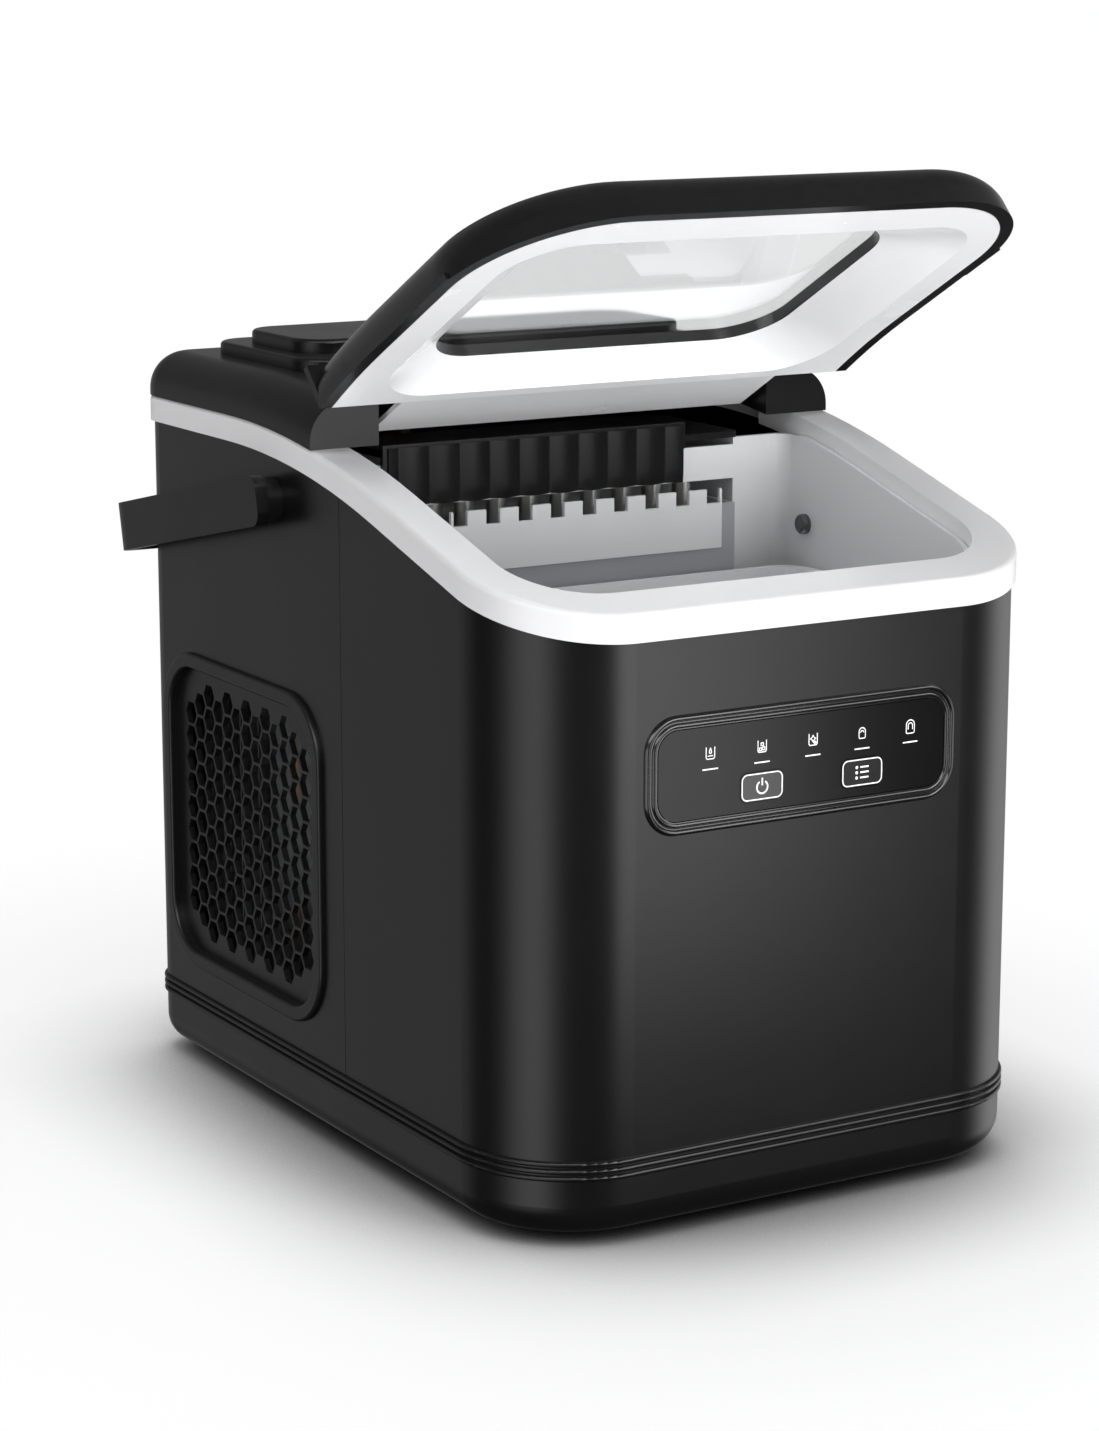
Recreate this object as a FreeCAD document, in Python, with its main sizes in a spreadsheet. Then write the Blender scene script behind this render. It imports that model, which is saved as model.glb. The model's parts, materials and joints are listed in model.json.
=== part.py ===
import FreeCAD, Part
import Sketcher
import math
import os
import re
from types import SimpleNamespace
from FreeCAD import Vector as V

# Countertop ice maker.  X runs to the user's right, Y to the back, Z up; the origin is on the floor
# under the middle of the cabinet.  Millimetres and degrees.

doc = FreeCAD.newDocument("IceMaker")
sheet = doc.addObject("Spreadsheet::Sheet", "Sizes")

SIZES = """
body_width 225        body_depth 304        front_radius 44       rear_radius 18
shell_wall 2          seam_back -20         seam_gap 0.3
base_top 32           base_wall 2.5         base_rounding 12      foot_height 3        foot_radius 9
foot_inset_x 32       foot_inset_y 34       base_gap 0.3
rib_height 1.9        rib_pitch 2.6         rib_proud 1.2         rib_first 24.8
rim_rear_z 269.6      rim_flat_end 69       rim_radius 440        rim_slope 15.7
trim_height 9.9       trim_proud 1.5        trim_skirt 4          trim_plate 3         trim_rounding 2
rim_width 16          opening_radius 30     rear_opening 9
cover_front -0.5      cover_height 17       cover_rounding 14.5   cover_wall 2.2
hinge_y 12            hinge_z 277           pin_radius 2          knuckle_radius 6.5   block_inner 85.6
pin_length 40         pin_depth 18          running_gap 0.05      notch_back 23
step_one_half 93      step_one_front 42     step_one_back 128     step_one_rise 5
step_two_half 86      step_two_front 56     step_two_back 114     step_two_rise 10.5   step_radius 14
lid_open 44           lid_gap 0.4           lid_thick 18.6        lid_proud 1.4        lid_front -157.6
lid_back -7.5         lid_radius 52         lid_rounding 15       lid_skirt 4.7        lid_skin 2
tab_half 82           tab_back 18.9         tab_rise 7
liner_wall 1.8        liner_gap 0.3         dish_half 97          dish_front 133.7     dish_back 5.5
dish_radius 26        window_half 75.5      window_front 110      window_back 7.5      window_radius 22
dish_depth 11.6       glass_thick 1.8       glass_lip 4           glass_seat 16.1       side_grip_at 95
side_grip_long 22     side_grip_proud 0.6   tab_start 3           knuckle_long 25
handle_y 33.5         handle_z 241.5        handle_tilt 12.3      arm_gap 6.5           arm_thick 5
arm_height 19         bail_gap 8            bail_corner 19        grip_half 60         grip_thick 12
pivot_radius 8.7      arm_nose 9.5          nose_round 5          axle_radius 4         axle_depth 3.4
shank_radius 5        shank_depth 5
vent_front -4         vent_back 132         vent_low 43           vent_high 171        vent_radius 26
vent_ring 6           vent_proud 2          cell_pitch 9.6        cell_wall 1.1        grille_thick 2.4
panel_half 65.5       panel_low 144.6       panel_high 187        panel_radius 13      panel_ridge 5
panel_proud 1.5       panel_flange 3        fascia_thick 2.4      fascia_gap 0.25      fascia_recess 0.5
key_width 17.8        key_height 10.2       key_radius 2.6        key_gap 0.3          
key_power_x -17.6     key_select_x 24.9     key_z 158.3           key_thick 3          board_thick 1.6
tank_wall 2.2         tank_floor 70         tank_gap 0.3          tank_drop 6          chamber_half 74
chamber_back 60       chamber_top 256       cover_plate 2.5       ledge_top 106        ledge_deep 14
tank_back 4           ledge_front -110      ledge_back -30        ledge_high 8
basket_gap 4          basket_wall 1.8       basket_top 206        basket_draft 5       basket_seat 0.3
basket_back -11
skirt_low 253.5       skirt_high 263.5      skirt_thick 2         skirt_left 84         skirt_right 48
lintel_low 240
plate_z 243           plate_thick 3         finger_count 9        finger_pitch 14      finger_radius 4
finger_y 14           finger_tip 207        coil_radius 3.5
tray_axis_y 34        tray_axis_z 232       tray_half 67          tray_wall 2          tray_depth 34
tray_width 41         shaft_radius 3        barrel_radius 4.5     motor_length 24       motor_size 34
shaft_end 5           pusher_thick 1.6      pusher_tooth 6        pusher_half 60
hose_radius 3.5       hose_x -88            hose_y 9              hose_top 239          hose_tip -62
pump_x -45            pump_radius 17        pump_height 39.5      pump_outlet 30        pump_neck 5
drain_x 80            drain_y -45           drain_z 47            drain_radius 5        cap_radius 8
cap_head 4            plug_long 8           plug_radius 3
fan_size 76           fan_depth 29          fan_x -49             fan_y 102            fan_z 104
fan_gap 1.2           hub_radius 15         blade_count 7         fan_shaft 1.5
condenser_x -100      condenser_thick 22    condenser_high 160    fin_count 15
fin_thick 0.8         coil_rows 5
compressor_x 14       compressor_y 103      compressor_radius 37  compressor_low 17    compressor_high 140
compressor_dome 14    grommet_radius 6      foot_plate 3          foot_spread 34
line_radius 3         capillary_radius 1.5  line_bend 9           line_top 168          drier_radius 7
drier_y 80            drier_z 188           valve_radius 8        valve_x -20           valve_height 28
bypass_top 268        suction_top 192       board_x 105.6         board_low 182         board_high 240
board_front 62        board_back 132        gland_x 80            gland_z 46            gland_radius 7
screw_radius 2        screw_head 3.6        screw_inset 14        louvre_half 48        louvre_low 60
louvre_pitch 9        louvre_high 4         louvre_count 9        foam_gap 0.4          foam_low 72
foam_top_drop 22      sensor_radius 4       sensor_y -14          sensor_z 222          sensor_proud 3
"""


def fill_sheet():
    """One alias per size: the name in column A and its plain number in column B."""
    pairs = re.findall(r"([a-z]\w*)\s+(-?[\d.]+)", SIZES)
    for row, (name, number) in enumerate(pairs, 1):
        sheet.set(f"A{row}", name)
        sheet.set(f"B{row}", number)
        sheet.setAlias(f"B{row}", name)
    doc.recompute()
    return [name for name, number in pairs]


NAMES = fill_sheet()
s = SimpleNamespace(**{name: float(sheet.get(name)) for name in NAMES})

HALF_W = s.body_width / 2
FRONT, BACK = -s.body_depth / 2, s.body_depth / 2
ARM_INNER = HALF_W + s.arm_gap
BAIL_INNER = BACK + s.bail_gap - s.handle_y
SLOPE = math.radians(s.rim_slope)
FAR = 400
nodes = {}


# ---------- bound primitives and features ----------

def formula(text):
    """The same words with each size's name pointed at the sheet."""
    return re.sub(r"[a-z_]\w*", lambda m: "Sizes." + m[0] if m[0] in NAMES else m[0], str(text))


def bind(item, props, at):
    """Tie an object's properties, and the place of its origin, to formulas on the sheet."""
    for prop, text in props.items():
        item.setExpression(prop, formula(text))
    for axis, text in zip("xyz", at):
        item.setExpression("Placement.Base." + axis, formula(text))


def primitive(kind, name, at=(0, 0, 0), turn=None, **props):
    """A Part primitive whose sizes and place are bound to the sheet."""
    item = doc.addObject("Part::" + kind, name)
    if turn:
        item.Placement.Rotation = FreeCAD.Rotation(*turn)
    bind(item, props, at)
    return item


def boolean(kind, name, *items):
    """Cut (first minus second), or MultiFuse of all."""
    result = doc.addObject("Part::" + kind, name)
    if kind == "Cut":
        result.Base, result.Tool = items
    else:
        result.Shapes = list(items)
    return result


def node(name, item):
    """Make an object a sub-part: its Label names the node and its file."""
    item.Label = name
    nodes[name] = item
    return item


def feature(name, shape):
    """A sub-part whose shape is worked out with Part's own functions."""
    item = doc.addObject("Part::Feature", name)
    item.Shape = shape
    item.Placement = shape.Placement
    return node(name, item)


def round_sketch(body, plane, width, height, radius):
    """A centred rectangle with round corners on one of the body's origin planes."""
    sketch = body.newObject("Sketcher::SketchObject", body.Name + "_outline")
    role = [f for f in body.Origin.OriginFeatures if f.Role == plane][0]
    sketch.AttachmentSupport = [(role, "")]
    sketch.MapMode = "FlatFace"
    a, b, r = 30, 20, 5
    ends = [((-a + r, -b), (a - r, -b)), ((a, -b + r), (a, b - r)),
            ((a - r, b), (-a + r, b)), ((-a, b - r), (-a, -b + r))]
    for start, end in ends:
        sketch.addGeometry(Part.LineSegment(V(*start, 0), V(*end, 0)), False)
    centres = [(a - r, -b + r), (a - r, b - r), (-a + r, b - r), (-a + r, -b + r)]
    for corner, centre in enumerate(centres):
        circle = Part.Circle(V(*centre, 0), V(0, 0, 1), r)
        turn = math.pi / 2 * (corner - 1)
        sketch.addGeometry(Part.ArcOfCircle(circle, turn, turn + math.pi / 2), False)
    for side in range(4):
        sketch.addConstraint(Sketcher.Constraint("Tangent", side, 2, side + 4, 1))
        sketch.addConstraint(Sketcher.Constraint("Tangent", side + 4, 2, (side + 1) % 4, 1))
        sketch.addConstraint(Sketcher.Constraint("Horizontal" if side % 2 == 0 else "Vertical", side))
    for corner in (5, 6, 7):
        sketch.addConstraint(Sketcher.Constraint("Equal", 4, corner))
    sketch.addConstraint(Sketcher.Constraint("Symmetric", 4, 3, 6, 3, -1, 1))
    for kind, where, text in (("DistanceX", (3, 1, 1, 1), width), ("DistanceY", (0, 1, 2, 1), height),
                              ("Radius", (4,), radius)):
        start = {"DistanceX": 2 * a, "DistanceY": 2 * b, "Radius": r}[kind]
        index = sketch.addConstraint(Sketcher.Constraint(kind, *where, start))
        sketch.setExpression(f"Constraints[{index}]", formula(text))
    return sketch


def round_plate(name, plane, width, height, radius, length, at):
    """A padded plate with round corners, its pad centred on the body's plane."""
    body = doc.addObject("PartDesign::Body", name)
    pad = body.newObject("PartDesign::Pad", name + "_pad")
    pad.Profile = round_sketch(body, plane, width, height, radius)
    pad.Midplane = True
    pad.setExpression("Length", formula(length))
    body.Tip = pad
    bind(body, {}, at)
    return body


# ---------- outlines and solids shared by the shells ----------

def outline(half, front, back, r_front, r_back, z=0):
    """Seen from above: a rectangle with one radius at its front corners and one at its back corners."""
    wire = []
    spots = [(-half, front, r_front), (half, front, r_front), (half, back, r_back), (-half, back, r_back)]
    turns = [(1, 1), (-1, 1), (-1, -1), (1, -1)]
    ends = []
    for (x, y, r), (tx, ty) in zip(spots, turns):
        middle = V(x + tx * r * (1 - math.sqrt(0.5)), y + ty * r * (1 - math.sqrt(0.5)), z)
        side, end = V(x, y + ty * r, z), V(x + tx * r, y, z)
        first, last = (side, end) if tx * ty > 0 else (end, side)
        wire.append(Part.Arc(first, middle, last).toShape())
        ends.append((first, last))
    for this, after in zip(ends, ends[1:] + ends[:1]):
        wire.append(Part.makeLine(this[1], after[0]))
    return Part.Wire(Part.__sortEdges__(wire))


def prism(wire, low, high):
    """A flat outline made solid between two heights."""
    face = Part.Face(wire)
    face.translate(V(0, 0, low))
    return face.extrude(V(0, 0, high - low))


def shell_prism(inset, low=0, high=FAR):
    """The cabinet's outline pulled in by an inset, as a tall solid."""
    return prism(outline(HALF_W - inset, FRONT + inset, BACK - inset, s.front_radius - inset,
                         s.rear_radius - inset), low, high)


def rim_height(y, lift=0):
    """Height of the rim line above the floor: flat at the back, an arc, then straight down to the front."""
    back = s.rim_flat_end - y
    if back <= 0:
        return s.rim_rear_z + lift
    if back < (s.rim_radius + lift) * math.sin(SLOPE):
        return s.rim_rear_z - s.rim_radius + math.sqrt((s.rim_radius + lift) ** 2 - back ** 2)
    foot = back - (s.rim_radius + lift) * math.sin(SLOPE)
    return s.rim_rear_z - s.rim_radius + (s.rim_radius + lift) * math.cos(SLOPE) - foot * math.tan(SLOPE)


def under_rim(lift, low=0, front=-FAR / 2, back=FAR / 2):
    """Everything under the rim line raised by lift, made solid right across the width."""
    radius = s.rim_radius + lift
    centre = V(-FAR / 2, s.rim_flat_end, s.rim_rear_z - s.rim_radius)

    def on_arc(angle):
        return centre + V(0, -radius * math.sin(angle), radius * math.cos(angle))
    foot = V(-FAR / 2, front, rim_height(front, lift))
    edges = [Part.makeLine(V(-FAR / 2, back, s.rim_rear_z + lift), on_arc(0)),
             Part.Arc(on_arc(0), on_arc(SLOPE / 2), on_arc(SLOPE)).toShape(),
             Part.makeLine(on_arc(SLOPE), foot),
             Part.makeLine(foot, V(-FAR / 2, front, low)),
             Part.makeLine(V(-FAR / 2, front, low), V(-FAR / 2, back, low)),
             Part.makeLine(V(-FAR / 2, back, low), V(-FAR / 2, back, s.rim_rear_z + lift))]
    return Part.Face(Part.Wire(edges)).extrude(V(FAR, 0, 0))


def block(x0, x1, y0, y1, z0, z1):
    """A box between two corners."""
    return Part.makeBox(x1 - x0, y1 - y0, z1 - z0, V(x0, y0, z0))


def rod(radius, start, end):
    """A round bar from one point to another."""
    start, end = V(*start), V(*end)
    return Part.makeCylinder(radius, (end - start).Length, start, end - start)


def join(shapes):
    """Several solids fused into one."""
    return shapes[0].multiFuse(shapes[1:]).removeSplitter()


def both_sides(shape):
    """A solid and its mirror image across the middle of the cabinet."""
    return [shape, shape.mirror(V(0, 0, 0), V(1, 0, 0))]


def edges_where(shape, test):
    """The edges whose start, middle and end all pass a test on the point."""
    found = []
    for edge in shape.Edges:
        first, last = edge.ParameterRange
        if all(test(edge.valueAt(first + (last - first) * t)) for t in (0.02, 0.5, 0.98)):
            found.append(edge)
    return found


def tube(radius, points, bend):
    """A round tube's solid along straight runs joined by tangent arcs of one bend radius."""
    points = [V(*p) for p in points]
    edges, start = [], points[0]
    for before, corner, after in zip(points, points[1:], points[2:]):
        inward, outward = (before - corner).normalize(), (after - corner).normalize()
        half = inward.getAngle(outward) / 2
        cut = bend / math.tan(half)
        middle = corner + (inward + outward).normalize() * (bend / math.sin(half) - bend)
        edges += [Part.makeLine(start, corner + inward * cut),
                  Part.Arc(corner + inward * cut, middle, corner + outward * cut).toShape()]
        start = corner + outward * cut
    edges.append(Part.makeLine(start, points[-1]))
    path = Part.Wire(edges)
    ring = Part.Wire(Part.makeCircle(radius, points[0], points[1] - points[0]))
    return path.makePipeShell([ring], True, False)


# ---------- cabinet shells ----------

def base_tray():
    """The moulded pan under the cabinet, with a well rounded foot edge and three ribs round its top."""
    low = s.foot_height
    outer = shell_prism(0, low, s.base_top)
    outer = outer.makeFillet(s.base_rounding, edges_where(outer, lambda p: abs(p.z - low) < 0.01))
    inner = shell_prism(s.base_wall, low + s.base_wall, s.base_top + 1)
    inner = inner.makeFillet(s.base_rounding - s.base_wall,
                             edges_where(inner, lambda p: abs(p.z - low - s.base_wall) < 0.01))
    ribs = []
    for number in range(3):
        bottom = s.rib_first + number * s.rib_pitch
        rib = shell_prism(-s.rib_proud, bottom, bottom + s.rib_height)
        ribs.append(rib.makeFillet(s.rib_height * 0.45, edges_where(rib, lambda p: is_rim(p, bottom))))
    feature("base_tray", join([outer] + ribs).cut(inner).cut(shell_prism(s.base_wall, s.base_top, FAR)))


def is_rim(point, bottom):
    """True on the two horizontal outlines of one rib."""
    return min(abs(point.z - bottom), abs(point.z - bottom - s.rib_height)) < 0.01


def feet():
    """Four rubber feet under the tray."""
    pads = []
    for side in (-1, 1):
        for end in (-1, 1):
            at = (f"{side} * (body_width / 2 - foot_inset_x)", f"{end} * (body_depth / 2 - foot_inset_y)", 0)
            pads.append(primitive("Cylinder", f"foot_{len(pads)}", at, Radius="foot_radius",
                                  Height="foot_height"))
    node("feet", boolean("MultiFuse", "feet_group", *pads))


def wall_ring():
    """The cabinet's upright wall, from the tray up to the rim trim."""
    outer = shell_prism(0, s.base_top, FAR).cut(shell_prism(s.shell_wall, s.base_top - 1, FAR + 1))
    return outer.common(under_rim(-s.trim_height))


def panel_opening(grow=0):
    """The round-cornered opening in the front wrap behind the control panel."""
    inset = s.panel_flange - grow
    mid = (s.panel_low + s.panel_high) / 2
    half_high = (s.panel_high - s.panel_low) / 2 - inset
    half = s.panel_half - inset
    radius = s.panel_radius - inset
    cut = prism(outline(half, -half_high, half_high, radius, radius), 0, 20)
    cut.rotate(V(0, 0, 0), V(1, 0, 0), 90)
    cut.translate(V(0, FRONT + 10, mid))
    return cut


def front_wrap():
    """The front and both sides as far back as the seam."""
    wrap = wall_ring().cut(block(-FAR, FAR, s.seam_back, FAR, -1, FAR))
    drain_hole = rod(s.drain_radius, (0, s.drain_y, s.drain_z), (FAR, s.drain_y, s.drain_z))
    feature("front_wrap", wrap.cut(panel_opening()).cut(drain_hole))


def vent_outline(inset, x0, x1):
    """A round-cornered block through a side wall, seen from the side, pulled in by an inset."""
    half = (s.vent_back - s.vent_front) / 2 - inset
    tall = (s.vent_high - s.vent_low) / 2 - inset
    radius = max(s.vent_radius - inset, 2)
    solid = prism(outline(tall, -half, half, radius, radius), x0, x1)
    solid.rotate(V(0, 0, 0), V(0, 1, 0), 90)
    solid.translate(V(0, (s.vent_back + s.vent_front) / 2, (s.vent_high + s.vent_low) / 2))
    return solid


def rear_housing():
    """The back wall and the sides behind the seam, open at the two vents, with louvres in the back."""
    shell = wall_ring().cut(block(-FAR, FAR, -FAR, s.seam_back + s.seam_gap, -1, FAR))
    shell = shell.cut(vent_outline(s.vent_ring / 2, -FAR, FAR))
    holes = both_sides(rod(s.shank_radius + s.running_gap, (HALF_W - 10, s.handle_y, s.handle_z),
                           (HALF_W + 10, s.handle_y, s.handle_z)))
    slots = []
    for row in range(int(s.louvre_count)):
        low = s.louvre_low + row * s.louvre_pitch
        slot = block(-s.louvre_half, s.louvre_half, BACK - 10, BACK + 10, low, low + s.louvre_high)
        ends = [e for e in slot.Edges if is_along(e, V(0, 1, 0))]
        slots.append(slot.makeFillet(s.louvre_high * 0.45, ends))
    gland = rod(s.gland_radius, (s.gland_x, BACK - 10, s.gland_z), (s.gland_x, BACK + 10, s.gland_z))
    screws = [rod(s.screw_radius, (x, BACK - 10, z), (x, BACK + 10, z)) for x, z in screw_spots()]
    feature("rear_housing", shell.cut(Part.makeCompound(holes + slots + [gland] + screws)))


def is_along(edge, direction):
    """True for a straight edge that runs along a direction."""
    return abs(edge.tangentAt(edge.FirstParameter).dot(direction)) > 0.99


def screw_spots():
    """Where the housing's screws go through the back wall, as (x, z)."""
    side, low, high = HALF_W - s.screw_inset, s.base_top + s.screw_inset, s.rim_rear_z - 2 * s.screw_inset
    return [(x, z) for x in (-side, side) for z in (low, high)]


def hex_cells(front, back, low, high, pitch, wall):
    """Flat-topped hexagonal cells filling a round-cornered side opening, as wires in the YZ plane."""
    across = pitch - wall
    side = across / math.sqrt(3)
    column = pitch * math.sqrt(3) / 2
    margin = side + 0.4
    middle_y, middle_z = (front + back) / 2, (low + high) / 2
    wires = []
    for i in range(-20, 21):
        for j in range(-20, 21):
            y = middle_y + i * column
            z = middle_z + (j + 0.5 * (i % 2)) * pitch
            if inside_round(y, z, front, back, low, high, margin):
                corners = [V(0, y + side * math.cos(a), z + side * math.sin(a))
                           for a in (math.radians(60 * k) for k in range(7))]
                wires.append(Part.makePolygon(corners))
    return wires


def inside_round(y, z, front, back, low, high, margin):
    """True where a cell's centre is clear of a round-cornered opening's edge by a margin."""
    radius = s.vent_radius
    dy = max(front + radius - y, y - back + radius, 0)
    dz = max(low + radius - z, z - high + radius, 0)
    inside = front + margin < y < back - margin and low + margin < z < high - margin
    return inside and math.hypot(dy, dz) < radius - margin


def side_vents():
    """The honeycomb grille and its stepped frame, on each side."""
    outside = HALF_W + s.vent_proud
    frame = vent_outline(0, HALF_W, outside).cut(vent_outline(s.vent_ring, 0, FAR))
    frame = frame.makeFillet(s.vent_proud * 0.6, edges_where(frame, lambda p: abs(p.x - outside) < 0.01))
    sleeve = vent_outline(s.vent_ring / 2 + s.base_gap, HALF_W - 4.5, HALF_W + 0.2)
    sleeve = sleeve.cut(vent_outline(s.vent_ring, 0, FAR))
    plate = vent_outline(s.vent_ring / 2 + s.base_gap, HALF_W - 4.5, HALF_W - 4.5 + s.grille_thick)
    inset = s.vent_ring
    cells = hex_cells(s.vent_front + inset, s.vent_back - inset, s.vent_low + inset, s.vent_high - inset,
                      s.cell_pitch, s.cell_wall)
    holes = [Part.Face(wire).extrude(V(FAR / 4, 0, 0)) for wire in cells]
    for hole in holes:
        hole.translate(V(HALF_W - 50, 0, 0))
    right = join([frame, sleeve, plate]).cut(Part.makeCompound(holes))
    left = right.mirror(V(0, 0, 0), V(1, 0, 0))
    feature("side_vent_right", right)
    feature("side_vent_left", left)


def rim_trim():
    """The white ring that caps the walls, with a wide rim round the ice opening."""
    proud = s.trim_proud
    bar = shell_prism(-proud).common(under_rim(0).cut(under_rim(-s.trim_height)))
    edge = [e for e in edges_where(bar, lambda p: abs(p.z - rim_height(p.y)) < 0.05 and on_outside(p, proud))]
    bar = bar.makeFillet(s.trim_rounding, edge)
    opening = ice_opening(0)
    bar = bar.cut(opening)
    cavity = shell_prism(s.trim_skirt - proud).cut(ice_opening(s.shell_wall)).common(under_rim(-s.trim_plate))
    return feature("rim_trim", bar.cut(cavity))


def on_outside(point, proud):
    """True on the cabinet's outer outline, stood out by proud."""
    grown = outline(HALF_W + proud, FRONT - proud, BACK + proud, s.front_radius + proud,
                    s.rear_radius + proud, point.z)
    return grown.distToShape(Part.Vertex(point))[0] < 0.05


def ice_opening(grow):
    """The opening inside the rim: over the ice bin in front, and over the works behind."""
    half = HALF_W + s.trim_proud - s.rim_width + grow
    front = FRONT - s.trim_proud + s.rim_width - grow
    bin_part = prism(outline(half, front, s.chamber_back, s.opening_radius + grow, 2), -1, FAR + 1)
    rear = outline(HALF_W - s.rear_opening + grow, s.notch_back, BACK - s.rear_opening + grow, 2,
                   s.rear_radius - 6)
    return bin_part.fuse(prism(rear, -1, FAR + 1))


def top_cover():
    """The rear cover with rolled edges, a two-step raised panel and the two hinge blocks at its front."""
    proud = s.trim_proud
    cover = shell_prism(-proud).common(under_rim(s.cover_height).cut(under_rim(0)))
    cover = cover.cut(block(-FAR, FAR, -FAR, s.cover_front, -1, FAR))
    cover = cover.makeFillet(s.cover_rounding, rolled_edges(cover, proud, s.cover_height, s.cover_front))
    inside = shell_prism(s.cover_wall - proud).common(under_rim(s.cover_height - s.cover_wall))
    inside = inside.cut(block(-FAR, FAR, -FAR, s.notch_back + s.cover_wall, -1, FAR))
    inside = inside.makeFillet(s.cover_rounding - s.cover_wall,
                               rolled_edges(inside, proud - s.cover_wall, s.cover_height - s.cover_wall,
                                            s.notch_back + s.cover_wall))
    notch = block(-s.block_inner, s.block_inner, -FAR, s.notch_back, 0, FAR)
    bores = both_sides(rod(s.pin_radius, (s.block_inner - 1, s.hinge_y, s.hinge_z),
                           (s.block_inner + s.pin_depth, s.hinge_y, s.hinge_z)))
    steps = [raised_step(s.step_one_half, s.step_one_front, s.step_one_back, s.step_one_rise),
             raised_step(s.step_two_half, s.step_two_front, s.step_two_back, s.step_two_rise)]
    shell = join([cover] + steps).cut(inside).cut(Part.makeCompound([notch] + bores))
    feature("top_cover", shell)


def rolled_edges(shape, proud, lift, front):
    """The top outer edges of a cover-like block, apart from its front one."""
    return edges_where(shape, lambda p: abs(p.z - rim_height(p.y, lift)) < 0.05 and p.y > front + 0.1
                       and on_outside(p, proud))


def raised_step(half, front, back, rise):
    """One step of the raised panel: a low plate with round corners and a softened top edge."""
    top = s.rim_rear_z + s.cover_height + rise
    plate = prism(outline(half, front, back, s.step_radius, s.step_radius), top - rise - 1.5, top)
    return plate.makeFillet(1.6, edges_where(plate, lambda p: abs(p.z - top) < 0.01))


# ---------- lid, drawn closed and then swung open about its hinge ----------

def lid_prism(inset):
    """The lid's outline from above when closed, pulled in by an inset."""
    half = HALF_W + s.trim_proud + s.lid_proud - inset
    whole = prism(outline(half, s.lid_front + inset, BACK, s.lid_radius - inset, 1), 0, FAR)
    return whole.cut(block(-FAR, FAR, s.lid_back, FAR, -1, FAR + 1))


def lid_slab(inset, low, high):
    """The lid's solid between two heights over the rim line."""
    return lid_prism(inset).common(under_rim(high, 100).cut(under_rim(low, 50)))


def lid_tilt(shape):
    """From lid terms (X across, Y back from the wing line, Z off its underside) to its closed place."""
    root = rim_height(s.lid_front) + s.lid_gap + (s.lid_back - s.lid_front) * math.tan(SLOPE)
    shape.rotate(V(0, 0, 0), V(1, 0, 0), s.rim_slope)
    shape.translate(V(0, s.lid_back, root))
    return shape


def lid_tab(low, high):
    """The tongue between the hinge blocks, between two heights over the lid's underside."""
    root = rim_height(s.lid_back) + s.lid_gap
    rise = s.tab_rise / (s.tab_back - s.lid_back)
    ends = (s.lid_back - s.tab_start, s.tab_back)
    points = [V(-s.tab_half, y, root + low + (y - s.lid_back) * rise) for y in ends]
    if high < s.lid_thick / 2:
        points += [point + V(0, 0, high - low) for point in reversed(points)]
    else:
        points += [V(-s.tab_half, y, rim_height(y) + s.lid_gap + high) for y in reversed(ends)]
    tab = Part.Face(Part.makePolygon(points + points[:1])).extrude(V(2 * s.tab_half, 0, 0))
    return tab


def frustum(grow, low, high):
    """The dish's space in lid terms: a round-cornered opening that narrows from the rim to the window."""
    def ring(z):
        share = z / s.dish_depth
        half = s.dish_half + (s.window_half - s.dish_half) * share + grow
        front = -(s.dish_front + (s.window_front - s.dish_front) * share) - grow
        back = -(s.dish_back + (s.window_back - s.dish_back) * share) + grow
        radius = s.dish_radius + (s.window_radius - s.dish_radius) * share + grow
        return outline(half, front, back, radius, radius, z)
    return Part.makeLoft([ring(low), ring(high)], True, True)


def window_cut(grow, low, high):
    """The window's outline made solid between two heights, in the closed lid's place."""
    wire = outline(s.window_half + grow, -s.window_front - grow, -s.window_back + grow,
                   s.window_radius + grow, s.window_radius + grow)
    return lid_tilt(prism(wire, low, high))


def swing_open(shape):
    """Turn a closed lid piece up to the angle at which the lid rests in the model."""
    shape.rotate(V(0, s.hinge_y, s.hinge_z), V(1, 0, 0), -s.lid_open)
    return shape


def hinge_rod(radius, inner, outer):
    """A bar on the hinge axis at each side, between two distances from the middle."""
    return both_sides(rod(radius, (inner, s.hinge_y, s.hinge_z), (outer, s.hinge_y, s.hinge_z)))


def lid_frame():
    """The black outer frame with its hinge tongue, knuckles, finger grips and window seat."""
    top = s.lid_gap + s.lid_thick
    frame = lid_slab(0, s.lid_gap, top)
    frame = frame.makeFillet(s.lid_rounding, lid_rim_edges(frame, top))
    frame = frame.cut(lid_slab(s.lid_skirt, -1, top - s.lid_skin))
    seat = window_cut(s.glass_lip + s.lid_skin, s.dish_depth + s.liner_gap, s.lid_thick - s.lid_skin + 0.5)
    tab = lid_tab(s.liner_wall + s.liner_gap, s.lid_thick - 1)
    knuckles = hinge_rod(s.knuckle_radius, s.block_inner - s.liner_gap - s.knuckle_long,
                         s.block_inner - 2 * s.liner_gap)
    back = lid_slab(0, s.lid_gap + s.liner_wall + s.liner_gap, top - 1)
    back = back.common(block(-FAR, FAR, s.lid_back - s.tab_start, FAR, 0, FAR))
    frame = join([frame, seat, back, tab] + knuckles + side_grips())
    bores = hinge_rod(s.pin_radius + s.running_gap, s.block_inner - s.knuckle_long - 2, s.block_inner)
    holes = [window_cut(0, s.liner_wall, FAR / 10), window_cut(s.glass_lip, s.glass_seat, FAR / 10)]
    feature("lid_frame", swing_open(frame.cut(Part.makeCompound(bores + holes))))


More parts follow.
